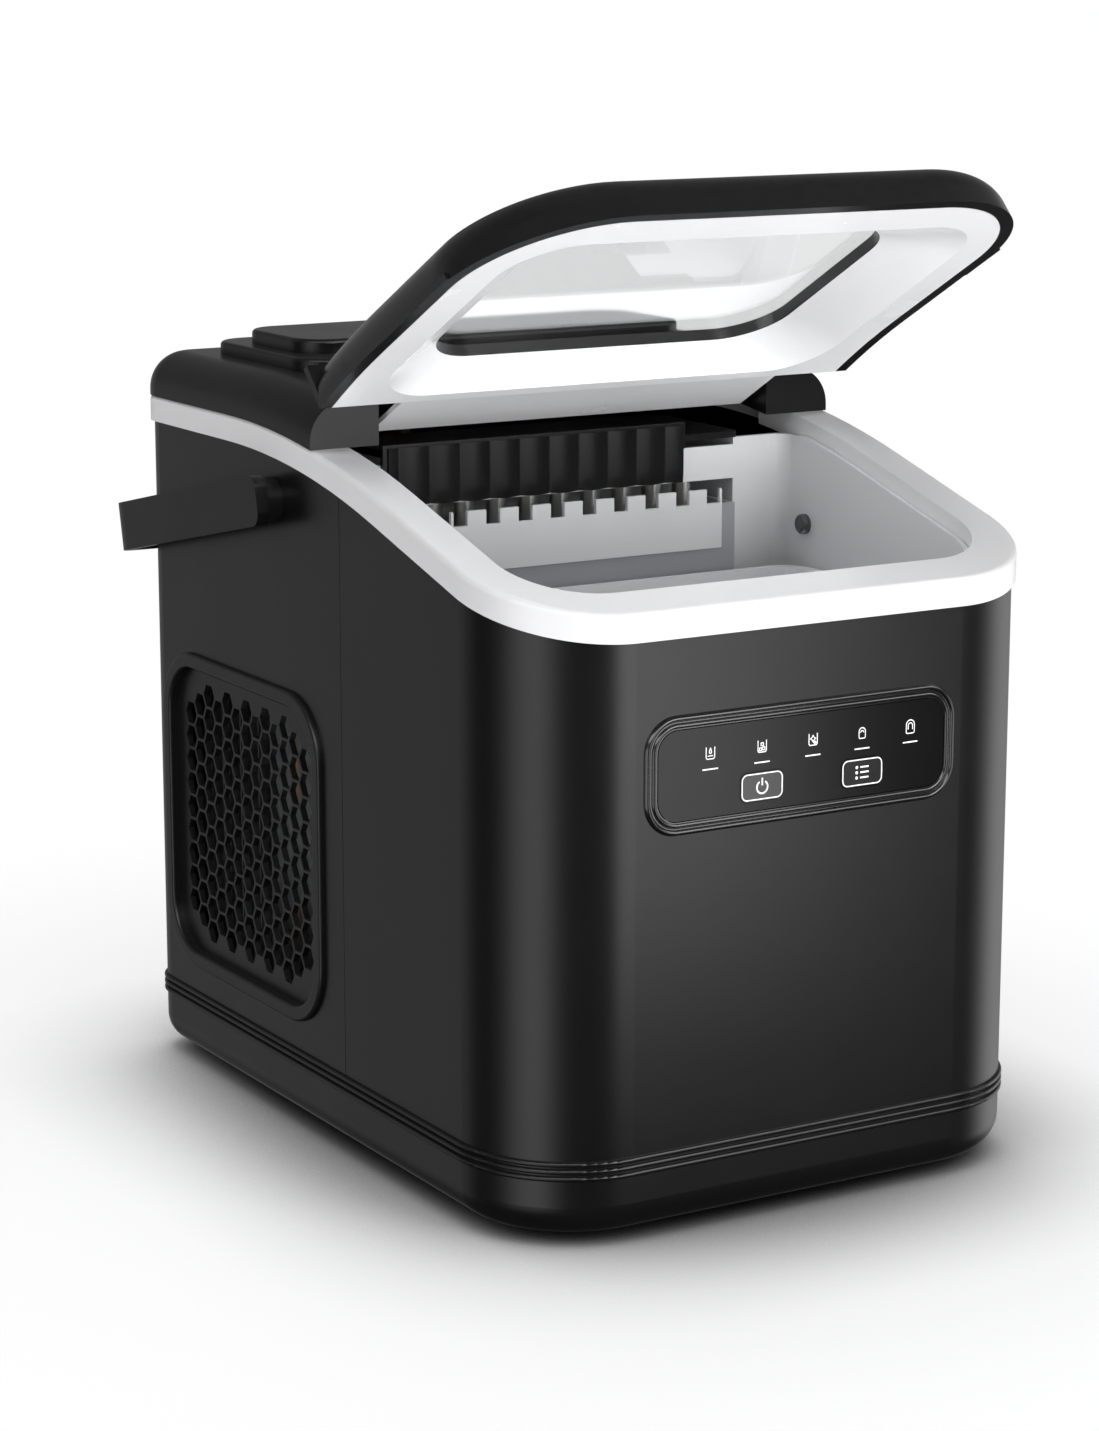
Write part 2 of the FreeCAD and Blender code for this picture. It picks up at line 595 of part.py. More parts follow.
def lid_rim_edges(shape, top):
    """The lid's top outer edges, apart from those at its back."""
    proud = s.trim_proud + s.lid_proud
    edge = outline(HALF_W + proud, s.lid_front, BACK, s.lid_radius, 1)

    def test(p):
        flat = Part.Vertex(V(p.x, p.y, 0))
        on_top = abs(p.z - rim_height(p.y, top)) < 0.05
        return on_top and p.y < s.lid_back - 0.5 and edge.distToShape(flat)[0] < 0.05
    return edges_where(shape, test)


def side_grips():
    """A low ledge on each side of the lid, for the fingers."""
    outer = HALF_W + s.trim_proud + s.lid_proud
    middle = s.lid_back - s.side_grip_at
    ledge = block(outer - 2, outer + s.side_grip_proud, middle - s.side_grip_long / 2,
                  middle + s.side_grip_long / 2, 0, FAR)
    return both_sides(ledge.common(under_rim(s.lid_gap + 2.5, 50).cut(under_rim(s.lid_gap))))


def lid_liner():
    """The white underside: a flat border and a dish with sloping walls up to the window."""
    border = lid_slab(s.lid_skirt + s.liner_gap, s.lid_gap, s.lid_gap + s.liner_wall)
    tongue = lid_tab(0, s.liner_wall).cut(lid_slab(-5, -1, s.lid_gap))
    wall = lid_tilt(frustum(s.liner_wall, -3, s.dish_depth)).cut(under_rim(s.lid_gap, 50))
    hole = lid_tilt(frustum(0, -4, s.dish_depth + 0.5))
    feature("lid_liner", swing_open(join([border, tongue, wall]).cut(hole)))


def lid_window():
    """The clear window in its seat."""
    glass = window_cut(s.glass_lip - s.liner_gap, s.glass_seat, s.glass_seat + s.glass_thick)
    feature("lid_window", swing_open(glass))


def hinge_pins():
    """The two steel pins, fixed in the cover's blocks and running in the lid's knuckles."""
    end = s.block_inner + s.pin_depth
    feature("hinge_pins", Part.makeCompound(hinge_rod(s.pin_radius, end - s.pin_length, end)))


# ---------- carrying handle ----------

def bail(half_height, inner, outer_x, thick, corner):
    """The whole strap laid flat: from the pivots back along both sides and round the two back corners."""
    outer = prism(outline(outer_x, -inner, inner + thick, 1, corner), -half_height, half_height)
    space = prism(outline(outer_x - thick, -inner - 5, inner, 1, corner - thick), -half_height - 1,
                  half_height + 1)
    return outer.cut(space)


def handle():
    """Two arms round the back corners and a thicker grip between them, drooping behind the cabinet."""
    half = s.arm_height / 2
    strap = bail(half, BAIL_INNER, ARM_INNER + s.arm_thick, s.arm_thick, s.bail_corner)
    strap = strap.cut(block(-FAR, FAR, -FAR, -s.arm_nose, -50, 50))
    noses = [e for e in strap.Edges if is_along(e, V(1, 0, 0)) and abs(e.CenterOfMass.y + s.arm_nose) < 0.01]
    arms = strap.makeFillet(s.nose_round, noses).cut(block(-s.grip_half, s.grip_half, 0, FAR, -50, 50))
    bores = both_sides(rod(s.axle_radius + s.running_gap, (ARM_INNER - 1, 0, 0),
                           (ARM_INNER + s.axle_depth + 0.3, 0, 0)))
    arms = arms.cut(Part.makeCompound(bores))
    right, left = sorted(arms.Solids, key=lambda solid: -solid.CenterOfMass.x)
    grip = block(-s.grip_half, s.grip_half, BAIL_INNER, BAIL_INNER + s.grip_thick, -half, half)
    grip = grip.makeFillet(s.grip_thick * 0.3, [e for e in grip.Edges if is_along(e, V(1, 0, 0))])
    for name, shape in (("handle_arm_left", left), ("handle_arm_right", right), ("handle_grip", grip)):
        shape.rotate(V(0, 0, 0), V(1, 0, 0), -s.handle_tilt)
        shape.translate(V(0, s.handle_y, s.handle_z))
        feature(name, shape)


def handle_pivots():
    """A stepped stud through each side wall: a shank, a collar that spaces the arm, and its axle."""
    def step(radius, inner, outer):
        return rod(radius, (inner, s.handle_y, s.handle_z), (outer, s.handle_y, s.handle_z))
    stud = join([step(s.shank_radius, HALF_W - s.shank_depth, HALF_W),
                 step(s.pivot_radius, HALF_W, ARM_INNER - s.base_gap),
                 step(s.axle_radius, ARM_INNER - s.base_gap, ARM_INNER + s.axle_depth)])
    feature("handle_pivots", Part.makeCompound(both_sides(stud)))


# ---------- control panel ----------

def panel_plate(name, inset, front, back):
    """A round-cornered plate of the panel's shape, pulled in by an inset, between two depths in Y."""
    return round_plate(name, "XZ_Plane", f"2 * (panel_half - {inset})",
                       f"panel_high - panel_low - 2 * {inset}", f"panel_radius - {inset}",
                       f"({back}) - ({front})",
                       (0, f"-body_depth / 2 + (({front}) + ({back})) / 2", "(panel_low + panel_high) / 2"))


def key_plate(name, key_x, grow, front, back):
    """A key, or the hole for it, between two depths in Y."""
    return round_plate(name, "XZ_Plane", f"key_width + 2 * {grow}", f"key_height + 2 * {grow}",
                       f"key_radius + {grow}", f"({back}) - ({front})",
                       (key_x, f"-body_depth / 2 + (({front}) + ({back})) / 2", "key_z"))


def control_panel():
    """The bezel, the glossy fascia, its two keys and the circuit board behind them."""
    fascia_back = "fascia_recess - panel_proud + fascia_thick"
    ledge_back = f"{fascia_back} + 1.6"
    flange = panel_plate("bezel_flange", "0", "-panel_proud", "0")
    sleeve = panel_plate("bezel_sleeve", "(panel_flange + fascia_gap)", "0", ledge_back)
    seat = panel_plate("bezel_seat", "panel_ridge", "-panel_proud - 1", fascia_back)
    window = panel_plate("bezel_window", "(panel_ridge + 2)", "-panel_proud - 1", ledge_back + " + 1")
    ring = boolean("MultiFuse", "bezel_ring", flange, sleeve)
    node("control_bezel", boolean("Cut", "bezel", ring, boolean("MultiFuse", "bezel_holes", seat, window)))
    face = panel_plate("fascia_face", "(panel_ridge + fascia_gap)", "fascia_recess - panel_proud",
                       fascia_back)
    holes = []
    for name, key_x in (("power", "key_power_x"), ("select", "key_select_x")):
        holes.append(key_plate(name + "_hole", key_x, "key_gap", "-panel_proud - 1", ledge_back))
        key_front = "fascia_recess - panel_proud - 0.2"
        node(name + "_button", key_plate(name + "_key", key_x, "0", key_front, key_front + " + key_thick"))
    node("control_fascia", boolean("Cut", "fascia", face, boolean("MultiFuse", "key_holes", *holes)))
    board = panel_plate("board", "(panel_ridge + 1)", ledge_back, ledge_back + " + board_thick")
    front = f"-body_depth / 2 + {ledge_back} - 0.4"
    switches = [primitive("Box", name + "_switch", (f"key_{name}_x - 3", front, "key_z - 3"),
                          Length=6, Width="0.4 + board_thick", Height=6)
                for name in ("power", "select")]
    node("control_board", boolean("MultiFuse", "board_and_switches", board, *switches))


# ---------- ice bin ----------

def tank_prism(inset, low):
    """The inner tank seen from above: the ice bin in front and the narrower freezing chamber behind."""
    half = HALF_W + s.trim_proud - s.rim_width - s.tank_gap - inset
    front = FRONT - s.trim_proud + s.rim_width + s.tank_gap + inset
    bin_part = prism(outline(half, front, s.tank_back - inset, s.opening_radius - inset, 6), low, FAR)
    chamber = prism(outline(s.chamber_half - inset, -20, s.chamber_back - inset, 1, 8), low, FAR)
    return bin_part.fuse(chamber)


def inner_tank():
    """The white tank: ice bin, freezing chamber and, at its foot, the water reservoir."""
    top = under_rim(-s.tank_drop).common(block(-FAR, FAR, -FAR, FAR, 0, s.chamber_top))
    tank = tank_prism(0, s.tank_floor).cut(tank_prism(s.tank_wall, s.tank_floor + s.tank_wall)).common(top)
    inner = HALF_W + s.trim_proud - s.rim_width - s.tank_gap - s.tank_wall
    ledges = both_sides(block(inner - s.ledge_deep, inner + 0.5, s.ledge_front, s.ledge_back,
                              s.ledge_top - s.ledge_high, s.ledge_top))
    axis_y, axis_z = s.tray_axis_y, s.tray_axis_z
    holes = [rod(s.shaft_radius + s.running_gap, (-s.chamber_half - 1, axis_y, axis_z),
                 (s.chamber_half + 1, axis_y, axis_z)),
             rod(s.hose_radius + s.tank_gap, (-s.chamber_half - 1, s.hose_y, s.hose_top),
                 (-s.chamber_half + 9, s.hose_y, s.hose_top)),
             rod(s.pump_neck - 1, (s.pump_x, s.hose_y, 0), (s.pump_x, s.hose_y, s.tank_floor + 5)),
             rod(s.drain_radius - 1.5, (s.drain_x, s.drain_y, 0), (s.drain_x, s.drain_y, s.tank_floor + 5))]
    for x in (-coil_half(), coil_half()):
        holes.append(rod(s.coil_radius + s.tank_gap, (x, s.chamber_back - 5, coil_z()),
                         (x, s.chamber_back + 5, coil_z())))
    sensors = both_sides(rod(s.sensor_radius + s.running_gap, (inner - 1, s.sensor_y, s.sensor_z),
                             (inner + 5, s.sensor_y, s.sensor_z)))
    lintel = block(-s.chamber_half, s.chamber_half, s.tank_back - s.tank_wall, s.tank_back, s.lintel_low,
                   s.skirt_low - s.tank_gap)
    feature("inner_tank", join([tank, lintel] + ledges).cut(Part.makeCompound(holes + sensors)))


def ice_sensors():
    """A pair of infrared eyes that look across the bin to tell when it is full."""
    inner = HALF_W + s.trim_proud - s.rim_width - s.tank_gap - s.tank_wall
    eye = rod(s.sensor_radius, (inner - s.sensor_proud, s.sensor_y, s.sensor_z),
              (inner + s.tank_wall, s.sensor_y, s.sensor_z))
    face = [e for e in eye.Edges if abs(e.BoundBox.XMax - inner + s.sensor_proud) < 0.01]
    feature("ice_sensors", Part.makeCompound(both_sides(eye.makeFillet(s.sensor_radius * 0.4, face))))


def basket_loft(inset, low, high):
    """The basket's tapered space between two heights, pulled in by an inset."""
    half = HALF_W + s.trim_proud - s.rim_width - s.tank_gap - s.tank_wall - s.basket_gap
    front = FRONT - s.trim_proud + s.rim_width + s.tank_gap + s.tank_wall + s.basket_gap
    bottom, top = s.ledge_top + s.basket_seat, s.basket_top

    def ring(z):
        taper = s.basket_draft * (top - z) / (top - bottom) + inset
        radius = s.opening_radius - s.tank_wall - s.basket_gap - inset
        return outline(half - taper, front + taper, s.basket_back - taper, radius, radius / 2, z)
    return Part.makeLoft([ring(low), ring(high)], True, True)


def ice_basket():
    """The lift-out basket, slotted in its floor and sides so that melt water drains back to the tank."""
    bottom, top = s.ledge_top + s.basket_seat, s.basket_top
    basket = basket_loft(0, bottom, top)
    lip = basket_loft(-1.6, top - 4, top)
    basket = join([basket, lip]).cut(basket_loft(s.basket_wall, bottom + s.basket_wall, top + 0.1))
    slots = []
    for column in range(-4, 5):
        for row in range(5):
            x, y = column * 17, -118 + row * 22
            slots.append(block(x - 2.5, x + 2.5, y, y + 14, bottom - 1, bottom + 4))
    for row in range(5):
        y = -115 + row * 20
        slots.append(block(-FAR / 2, FAR / 2, y, y + 5, bottom + 12, bottom + 60))
    for column in range(-3, 4):
        slots.append(block(column * 20 - 2.5, column * 20 + 2.5, -FAR / 2, FAR / 2, bottom + 12, bottom + 60))
    feature("ice_basket", basket.cut(Part.makeCompound(slots)))


def insulation():
    """Foam round the front and sides of the bin, between the tank and the wrap."""
    inset = s.shell_wall + s.foam_gap
    outer = shell_prism(inset, s.foam_low, FAR).common(under_rim(-s.foam_top_drop))
    outer = outer.cut(block(-FAR, FAR, s.vent_front - 6, FAR, 0, FAR))
    panel = block(-s.panel_half - 4, s.panel_half + 4, FRONT, FRONT + 12, s.panel_low - 8, s.panel_high + 8)
    drain = block(s.drain_x - 8, FAR, s.drain_y - 8, s.drain_y + 8, 0, s.foam_low + 4)
    foam = outer.cut(tank_prism(-s.foam_gap, 0)).cut(Part.makeCompound([panel, drain]))
    feature("insulation", foam)


# ---------- freezing chamber ----------

def coil_half():
    """Half the width between the evaporator coil's two legs."""
    return (s.finger_count - 1) / 2 * s.finger_pitch


def coil_z():
    """Height of the evaporator coil, lying on the plate."""
    return s.plate_z + s.plate_thick + s.coil_radius


def evaporator():
    """The cold plate with its row of freezing fingers, the coil on top, and the cover with its skirt."""
    half = coil_half() + 8
    node("evaporator_plate", primitive("Box", "cold_plate", (-half, "finger_y - 7", "plate_z"),
                                       Length=2 * half, Width=14, Height="plate_thick"))
    x = coil_half()
    coil = tube(s.coil_radius, [(x, s.chamber_back + 6, coil_z()), (x, s.finger_y, coil_z()),
                                (-x, s.finger_y, coil_z()), (-x, s.chamber_back + 6, coil_z())], 10)
    feature("evaporator_coil", coil)
    fingers = []
    for number in range(int(s.finger_count)):
        at = (number * s.finger_pitch - coil_half(), s.finger_y)
        stem = rod(s.finger_radius, (*at, s.finger_tip + s.finger_radius), (*at, s.plate_z))
        fingers.append(stem.fuse(Part.makeSphere(s.finger_radius, V(*at, s.finger_tip + s.finger_radius)))
                       .removeSplitter())
    feature("freezing_fingers", Part.makeCompound(fingers))
    cover = prism(outline(s.chamber_half, s.tank_back - 3, s.chamber_back, 3, 8), s.chamber_top,
                  s.chamber_top + s.cover_plate)
    back = s.tank_back - s.tank_wall - s.tank_gap
    skirt = block(-s.skirt_left, s.skirt_right, back - s.skirt_thick, back, s.skirt_low, s.skirt_high)
    feature("evaporator_cover", join([cover, skirt]))


def water_tray():
    """The tilting trough with its shaft, the pusher comb on its front and the geared motor that turns it."""
    y, z = s.tray_axis_y, s.tray_axis_z
    trough = block(-s.tray_half, s.tray_half, y - s.tray_width, y, z - s.tray_depth, z)
    trough = trough.makeFillet(5, [e for e in trough.Edges if is_along(e, V(1, 0, 0))
                                   and e.CenterOfMass.z < z - 1])
    wall = s.tray_wall
    inside = block(-s.tray_half + wall, s.tray_half - wall, y - s.tray_width + wall, y - wall,
                   z - s.tray_depth + wall, z + 1)
    inside = inside.makeFillet(3, [e for e in inside.Edges if is_along(e, V(1, 0, 0))
                                   and e.CenterOfMass.z < z - 1])
    barrel = rod(s.barrel_radius, (-s.tray_half, y, z), (s.tray_half, y, z))
    bore = rod(s.shaft_radius, (-s.tray_half - 1, y, z), (s.tray_half + 1, y, z))
    feature("water_tray", join([trough.cut(inside), barrel]).cut(bore))
    shaft_start = -s.chamber_half - s.shaft_end + 0.5
    feature("tray_shaft", rod(s.shaft_radius, (shaft_start, y, z), (s.chamber_half, y, z)))
    front = y - s.tray_width
    comb = block(-s.pusher_half, s.pusher_half, front - s.pusher_thick, front, z - s.tray_depth / 2,
                 z + s.pusher_tooth)
    count = int(s.finger_count)
    gaps = [block(x - 3, x + 3, front - 5, front + 5, z + 0.5, z + FAR)
            for x in ((n - (count - 1) / 2) * s.finger_pitch for n in range(count))]
    feature("ice_pusher", comb.cut(Part.makeCompound(gaps)))
    size = s.motor_size / 2
    left = -s.chamber_half - s.motor_length
    motor = block(left, -s.chamber_half, y - size, y + size, z - size, z + size)
    motor = motor.makeFillet(4, [e for e in motor.Edges if is_along(e, V(1, 0, 0))])
    bore = rod(s.shaft_radius + s.running_gap, (-s.chamber_half - s.shaft_end, y, z), (-s.chamber_half, y, z))
    feature("tray_motor", motor.cut(bore))


def water_works():
    """The pump under the reservoir with its hose up to the tray, and the drain with its pull-off cap."""
    floor = s.foot_height + s.base_wall
    y = s.hose_y
    body = rod(s.pump_radius, (s.pump_x, y, floor), (s.pump_x, y, floor + s.pump_height))
    neck = rod(s.pump_neck, (s.pump_x, y, floor + s.pump_height), (s.pump_x, y, s.tank_floor))
    spout = rod(s.hose_radius, (s.pump_x, y, s.pump_outlet), (s.pump_x - s.pump_radius - 6, y, s.pump_outlet))
    body = body.makeFillet(2.5, [e for e in body.Edges if e.BoundBox.ZLength < 0.01])
    feature("water_pump", join([body, neck, spout]))
    hose = tube(s.hose_radius, [(s.pump_x - s.pump_radius - 6, y, s.pump_outlet),
                                (s.hose_x, y, s.pump_outlet), (s.hose_x, y, s.hose_top),
                                (s.hose_tip, y, s.hose_top)], 11)
    feature("pump_hose", hose)
    run = [(s.drain_x, s.drain_y, s.tank_floor), (s.drain_x, s.drain_y, s.drain_z),
           (HALF_W + 1, s.drain_y, s.drain_z)]
    pipe = tube(s.drain_radius - s.running_gap, run, 10)
    bore = tube(s.plug_radius + 0.2, run, 10)
    feature("drain_tube", pipe.cut(bore))
    cap = join([rod(s.cap_radius, (HALF_W + 1.3, s.drain_y, s.drain_z), (HALF_W + 1.3 + s.cap_head, s.drain_y,
                                                                        s.drain_z)),
                rod(s.plug_radius, (HALF_W + 1.3 - s.plug_long, s.drain_y, s.drain_z),
                    (HALF_W + 2, s.drain_y, s.drain_z))])
    rim = [e for e in cap.Edges if abs(e.BoundBox.XMin - HALF_W - 1.3 - s.cap_head) < 0.01]
    feature("drain_cap", cap.makeFillet(1.2, rim))


# ---------- refrigeration and air ----------

def condenser():
    """Fins on a serpentine coil, standing on the tray behind the left vent."""
    floor = s.foot_height + s.base_wall
    x0, x1 = s.condenser_x, s.condenser_x + s.condenser_thick
    half = s.fan_size / 2
    pitch = (2 * half - s.fin_thick) / (s.fin_count - 1)
    fins = [block(x0, x1, s.fan_y - half + n * pitch, s.fan_y - half + n * pitch + s.fin_thick, floor,
                  s.condenser_high) for n in range(int(s.fin_count))]
    ends = [block(x0, x1, s.fan_y - half, s.fan_y + half, z, z + s.fin_thick)
            for z in (floor, s.condenser_high - s.fin_thick)]
    rise = (s.condenser_high - floor) / s.coil_rows
    middle = (x0 + x1) / 2
    turns = []
    for row in range(int(s.coil_rows)):
        end = s.fan_y + (half - 3 if row % 2 else 3 - half)
        z = floor + (row + 0.5) * rise
        turns += [(middle, end, z), (middle, 2 * s.fan_y - end, z)]
    coil = tube(s.line_radius, turns, 2 * s.line_radius)
    path = tube(s.line_radius + s.running_gap, turns, 2 * s.line_radius)
    feature("condenser_fins", join(fins + ends).cut(path))
    feature("condenser_coil", coil)


def fan():
    """A square frame with struts, the motor on them and a bladed rotor that turns on the motor's shaft."""
    x, y, z, half = s.fan_x, s.fan_y, s.fan_z, s.fan_size / 2
    left = x - s.fan_depth
    frame = block(left, x, y - half, y + half, z - half, z + half)
    frame = frame.makeFillet(5, [e for e in frame.Edges if is_along(e, V(1, 0, 0))])
    frame = frame.cut(rod(half - 1.5, (left - 1, y, z), (x + 1, y, z)))
    struts = []
    for turn in range(3):
        strut = block(x - 3, x, y - 2, y + 2, z + s.hub_radius - 1, z + half - 1)
        strut.rotate(V(0, y, z), V(1, 0, 0), 60 + 120 * turn)
        struts.append(strut)
    feature("fan_frame", join([frame] + struts).cut(rod(s.hub_radius, (x - 4, y, z), (x + 1, y, z))))
    motor = rod(s.hub_radius, (x - 5, y, z), (x, y, z)).fuse(rod(s.fan_shaft, (x - 20, y, z), (x - 4, y, z)))
    feature("fan_motor", motor.removeSplitter())
    hub = rod(s.hub_radius, (x - 21, y, z), (x - 5 - s.fan_gap, y, z))
    blades = []
    for number in range(int(s.blade_count)):
        root = Part.makePolygon([V(0, -1, 0), V(0, 1, 0), V(-14, 8, 0), V(-14, 6, 0), V(0, -1, 0)])
        blade = Part.Face(root).extrude(V(0, 0, half - 1.5 - s.fan_gap - 2 - s.hub_radius + 3))
        blade.translate(V(x - 6.5, y, z + s.hub_radius - 3))
        blade.rotate(V(0, y, z), V(1, 0, 0), 360 / s.blade_count * number)
        blades.append(blade)
    bore = rod(s.fan_shaft + s.running_gap, (x - 20.5, y, z), (x, y, z))
    feature("fan_rotor", join([hub] + blades).cut(bore))


def compressor():
    """The sealed compressor, its foot plate and the rubber mounts it stands on."""
    floor = "foot_height + base_wall"
    shell = primitive("Cylinder", "compressor_shell", ("compressor_x", "compressor_y", "compressor_low"),
                      Radius="compressor_radius", Height="compressor_high - compressor_low")
    doc.recompute()
    domed = doc.addObject("Part::Fillet", "compressor_domes")
    domed.Base = shell
    ends = [n for n, e in enumerate(shell.Shape.Edges, 1) if e.BoundBox.ZLength < 0.01]
    domed.Edges = [(n, s.compressor_dome, s.compressor_dome) for n in ends]
    plate = primitive("Box", "compressor_plate", ("compressor_x - foot_spread", "compressor_y - foot_spread",
                                                "compressor_low - foot_plate"),
                      Length="2 * foot_spread", Width="2 * foot_spread", Height="foot_plate + 0.2")
    node("compressor", boolean("MultiFuse", "compressor_body", domed, plate))
    mounts = []
    for side in (-1, 1):
        for end in (-1, 1):
            at = (f"compressor_x + {side} * (foot_spread - grommet_radius - 1)",
                  f"compressor_y + {end} * (foot_spread - grommet_radius - 1)", floor)
            mounts.append(primitive("Cylinder", f"mount_{len(mounts)}", at, Radius="grommet_radius",
                                    Height=f"compressor_low - foot_plate - ({floor})"))
    node("compressor_mounts", boolean("MultiFuse", "mount_group", *mounts))


def refrigerant_lines():
    """Discharge, liquid, bypass and suction lines, the filter drier and the hot gas valve."""
    cx, cy = s.compressor_x, s.compressor_y
    condenser_mid = s.condenser_x + s.condenser_thick / 2
    top = s.compressor_high
    feature("discharge_line", tube(s.line_radius, [(cx + 15, cy, top), (cx + 15, cy, s.line_top),
                                                   (condenser_mid, cy, s.line_top),
                                                   (condenser_mid, cy, s.condenser_high)], 7))
    drier_left, drier_right = condenser_mid + 24, condenser_mid + 74
    feature("liquid_line", tube(s.line_radius, [(condenser_mid, s.drier_y, s.condenser_high),
                                                (condenser_mid, s.drier_y, s.drier_z),
                                                (drier_left, s.drier_y, s.drier_z)], s.line_bend))
    drier = rod(s.drier_radius, (drier_left, s.drier_y, s.drier_z), (drier_right, s.drier_y, s.drier_z))
    feature("filter_drier", drier.makeFillet(4, [e for e in drier.Edges if e.BoundBox.XLength < 0.01]))
    end_y, x = s.chamber_back + 6, coil_half()
    feature("capillary_tube", tube(s.capillary_radius, [(drier_right, s.drier_y, s.drier_z),
                                                        (drier_right + 14, s.drier_y, s.drier_z),
                                                        (drier_right + 14, s.drier_y, coil_z()),
                                                        (-x, s.drier_y, coil_z()), (-x, end_y, coil_z())], 6))
    valve_low = s.line_top + s.line_radius
    valve = rod(s.valve_radius, (s.valve_x, cy, valve_low), (s.valve_x, cy, valve_low + s.valve_height))
    coil = block(s.valve_x - 11, s.valve_x + 11, cy - 11, cy + 11, valve_low + 6, valve_low + 22)
    feature("hot_gas_valve", join([valve, coil]))
    feature("bypass_line", tube(s.line_radius, [(s.valve_x, cy, valve_low + s.valve_height),
                                                (s.valve_x, cy, s.bypass_top), (-x, cy, s.bypass_top),
                                                (-x, s.chamber_back + 3.5, s.bypass_top),
                                                (-x, s.chamber_back + 3.5, coil_z() + s.coil_radius)],
                                7))
    feature("suction_line", tube(s.line_radius, [(x, end_y, coil_z()), (x, end_y + 24, coil_z()),
                                                 (x, end_y + 24, s.suction_top),
                                                 (cx - 8, end_y + 24, s.suction_top),
                                                 (cx - 8, end_y + 24, top)], s.line_bend))


def power_board():
    """The main circuit board on four posts inside the right wall, above the vent."""
    wall = HALF_W - s.shell_wall
    board = block(s.board_x - s.board_thick, s.board_x, s.board_front, s.board_back, s.board_low,
                  s.board_high)
    posts = [rod(2.5, (s.board_x - s.board_thick, y, z), (wall, y, z))
             for y in (s.board_front + 5, s.board_back - 5) for z in (s.board_low + 5, s.board_high - 5)]
    chips = [block(s.board_x - s.board_thick - deep, s.board_x - s.board_thick + 0.2, s.board_front + y,
                   s.board_front + y + wide, s.board_low + z, s.board_low + z + tall)
             for deep, y, z, wide, tall in ((14, 12, 10, 22, 20), (9, 42, 12, 14, 16), (16, 62, 8, 12, 30),
                                            (4, 14, 38, 30, 10))]
    feature("power_board", join([board] + posts + chips))


def fasteners():
    """The housing's screws in the back wall, and the bush that the mains lead would leave by."""
    screws = []
    for x, z in screw_spots():
        head = rod(s.screw_head, (x, BACK, z), (x, BACK + 1.4, z))
        shank = rod(s.screw_radius - s.running_gap, (x, BACK - 8, z), (x, BACK + 0.5, z))
        screws.append(head.fuse(shank).removeSplitter())
    feature("housing_screws", Part.makeCompound(screws))
    flange = rod(s.gland_radius + 3, (s.gland_x, BACK, s.gland_z), (s.gland_x, BACK + 2.5, s.gland_z))
    bush = rod(s.gland_radius - s.running_gap, (s.gland_x, BACK - 6, s.gland_z),
               (s.gland_x, BACK + 2, s.gland_z))
    hole = rod(3.5, (s.gland_x, BACK - 7, s.gland_z), (s.gland_x, BACK + 9, s.gland_z))
    feature("cord_gland", join([flange, bush]).cut(hole))


# ---------- build, check and write ----------

def check_and_write():
    """Stop on any failed object or bad shape, then write one STEP file for each sub-part."""
    doc.recompute()
    for item in doc.Objects:
        if {"Invalid", "Error"} & set(item.State):
            raise RuntimeError(f"{item.Label} failed: {item.State}")
    for name, item in nodes.items():
        if item.Shape.isNull() or not item.Shape.isValid():
            raise RuntimeError(f"{name} has a bad shape")
    os.makedirs("parts", exist_ok=True)
    for name, item in nodes.items():
        item.Shape.exportStep(f"parts/{name}.step")
        print(f"{name}: {len(item.Shape.Solids)} solid(s), {item.Shape.Volume / 1000:.1f} cm3")


for make in (base_tray, feet, front_wrap, rear_housing, side_vents, rim_trim, top_cover, lid_frame, lid_liner,
             lid_window, hinge_pins, handle, handle_pivots, control_panel, inner_tank, ice_sensors, ice_basket,
             insulation, evaporator, water_tray, water_works, condenser, fan, compressor, refrigerant_lines,
             power_board, fasteners):
    make()
check_and_write()
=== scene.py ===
# %% [markdown]
# # A countertop ice maker
# The machine is a black plastic cabinet with a white bin, a lid with a window, and a small
# refrigerator inside.  The exact shapes, fits and joints come from the CAD frame.  This notebook
# loads that frame, gives each part the finish of the real one, with painted shade darkening the
# parts in the freezing chamber and the fins behind the vents, and adds the pieces that are easier
# to make as computed surfaces: the printed symbols, the frame round the panel, the handle's grip,
# a dark sheet standing for the shade over the freezing chamber, the fan's blades and the screws.
#
# Blender's lengths are metres; X runs to the right, Y to the back and Z up.  The computed pieces
# are worked out in millimetres and scaled at the end.  Their places could be typed in, but two
# helpers read them from the frame, so that a piece stays beside the part it belongs to.

import json

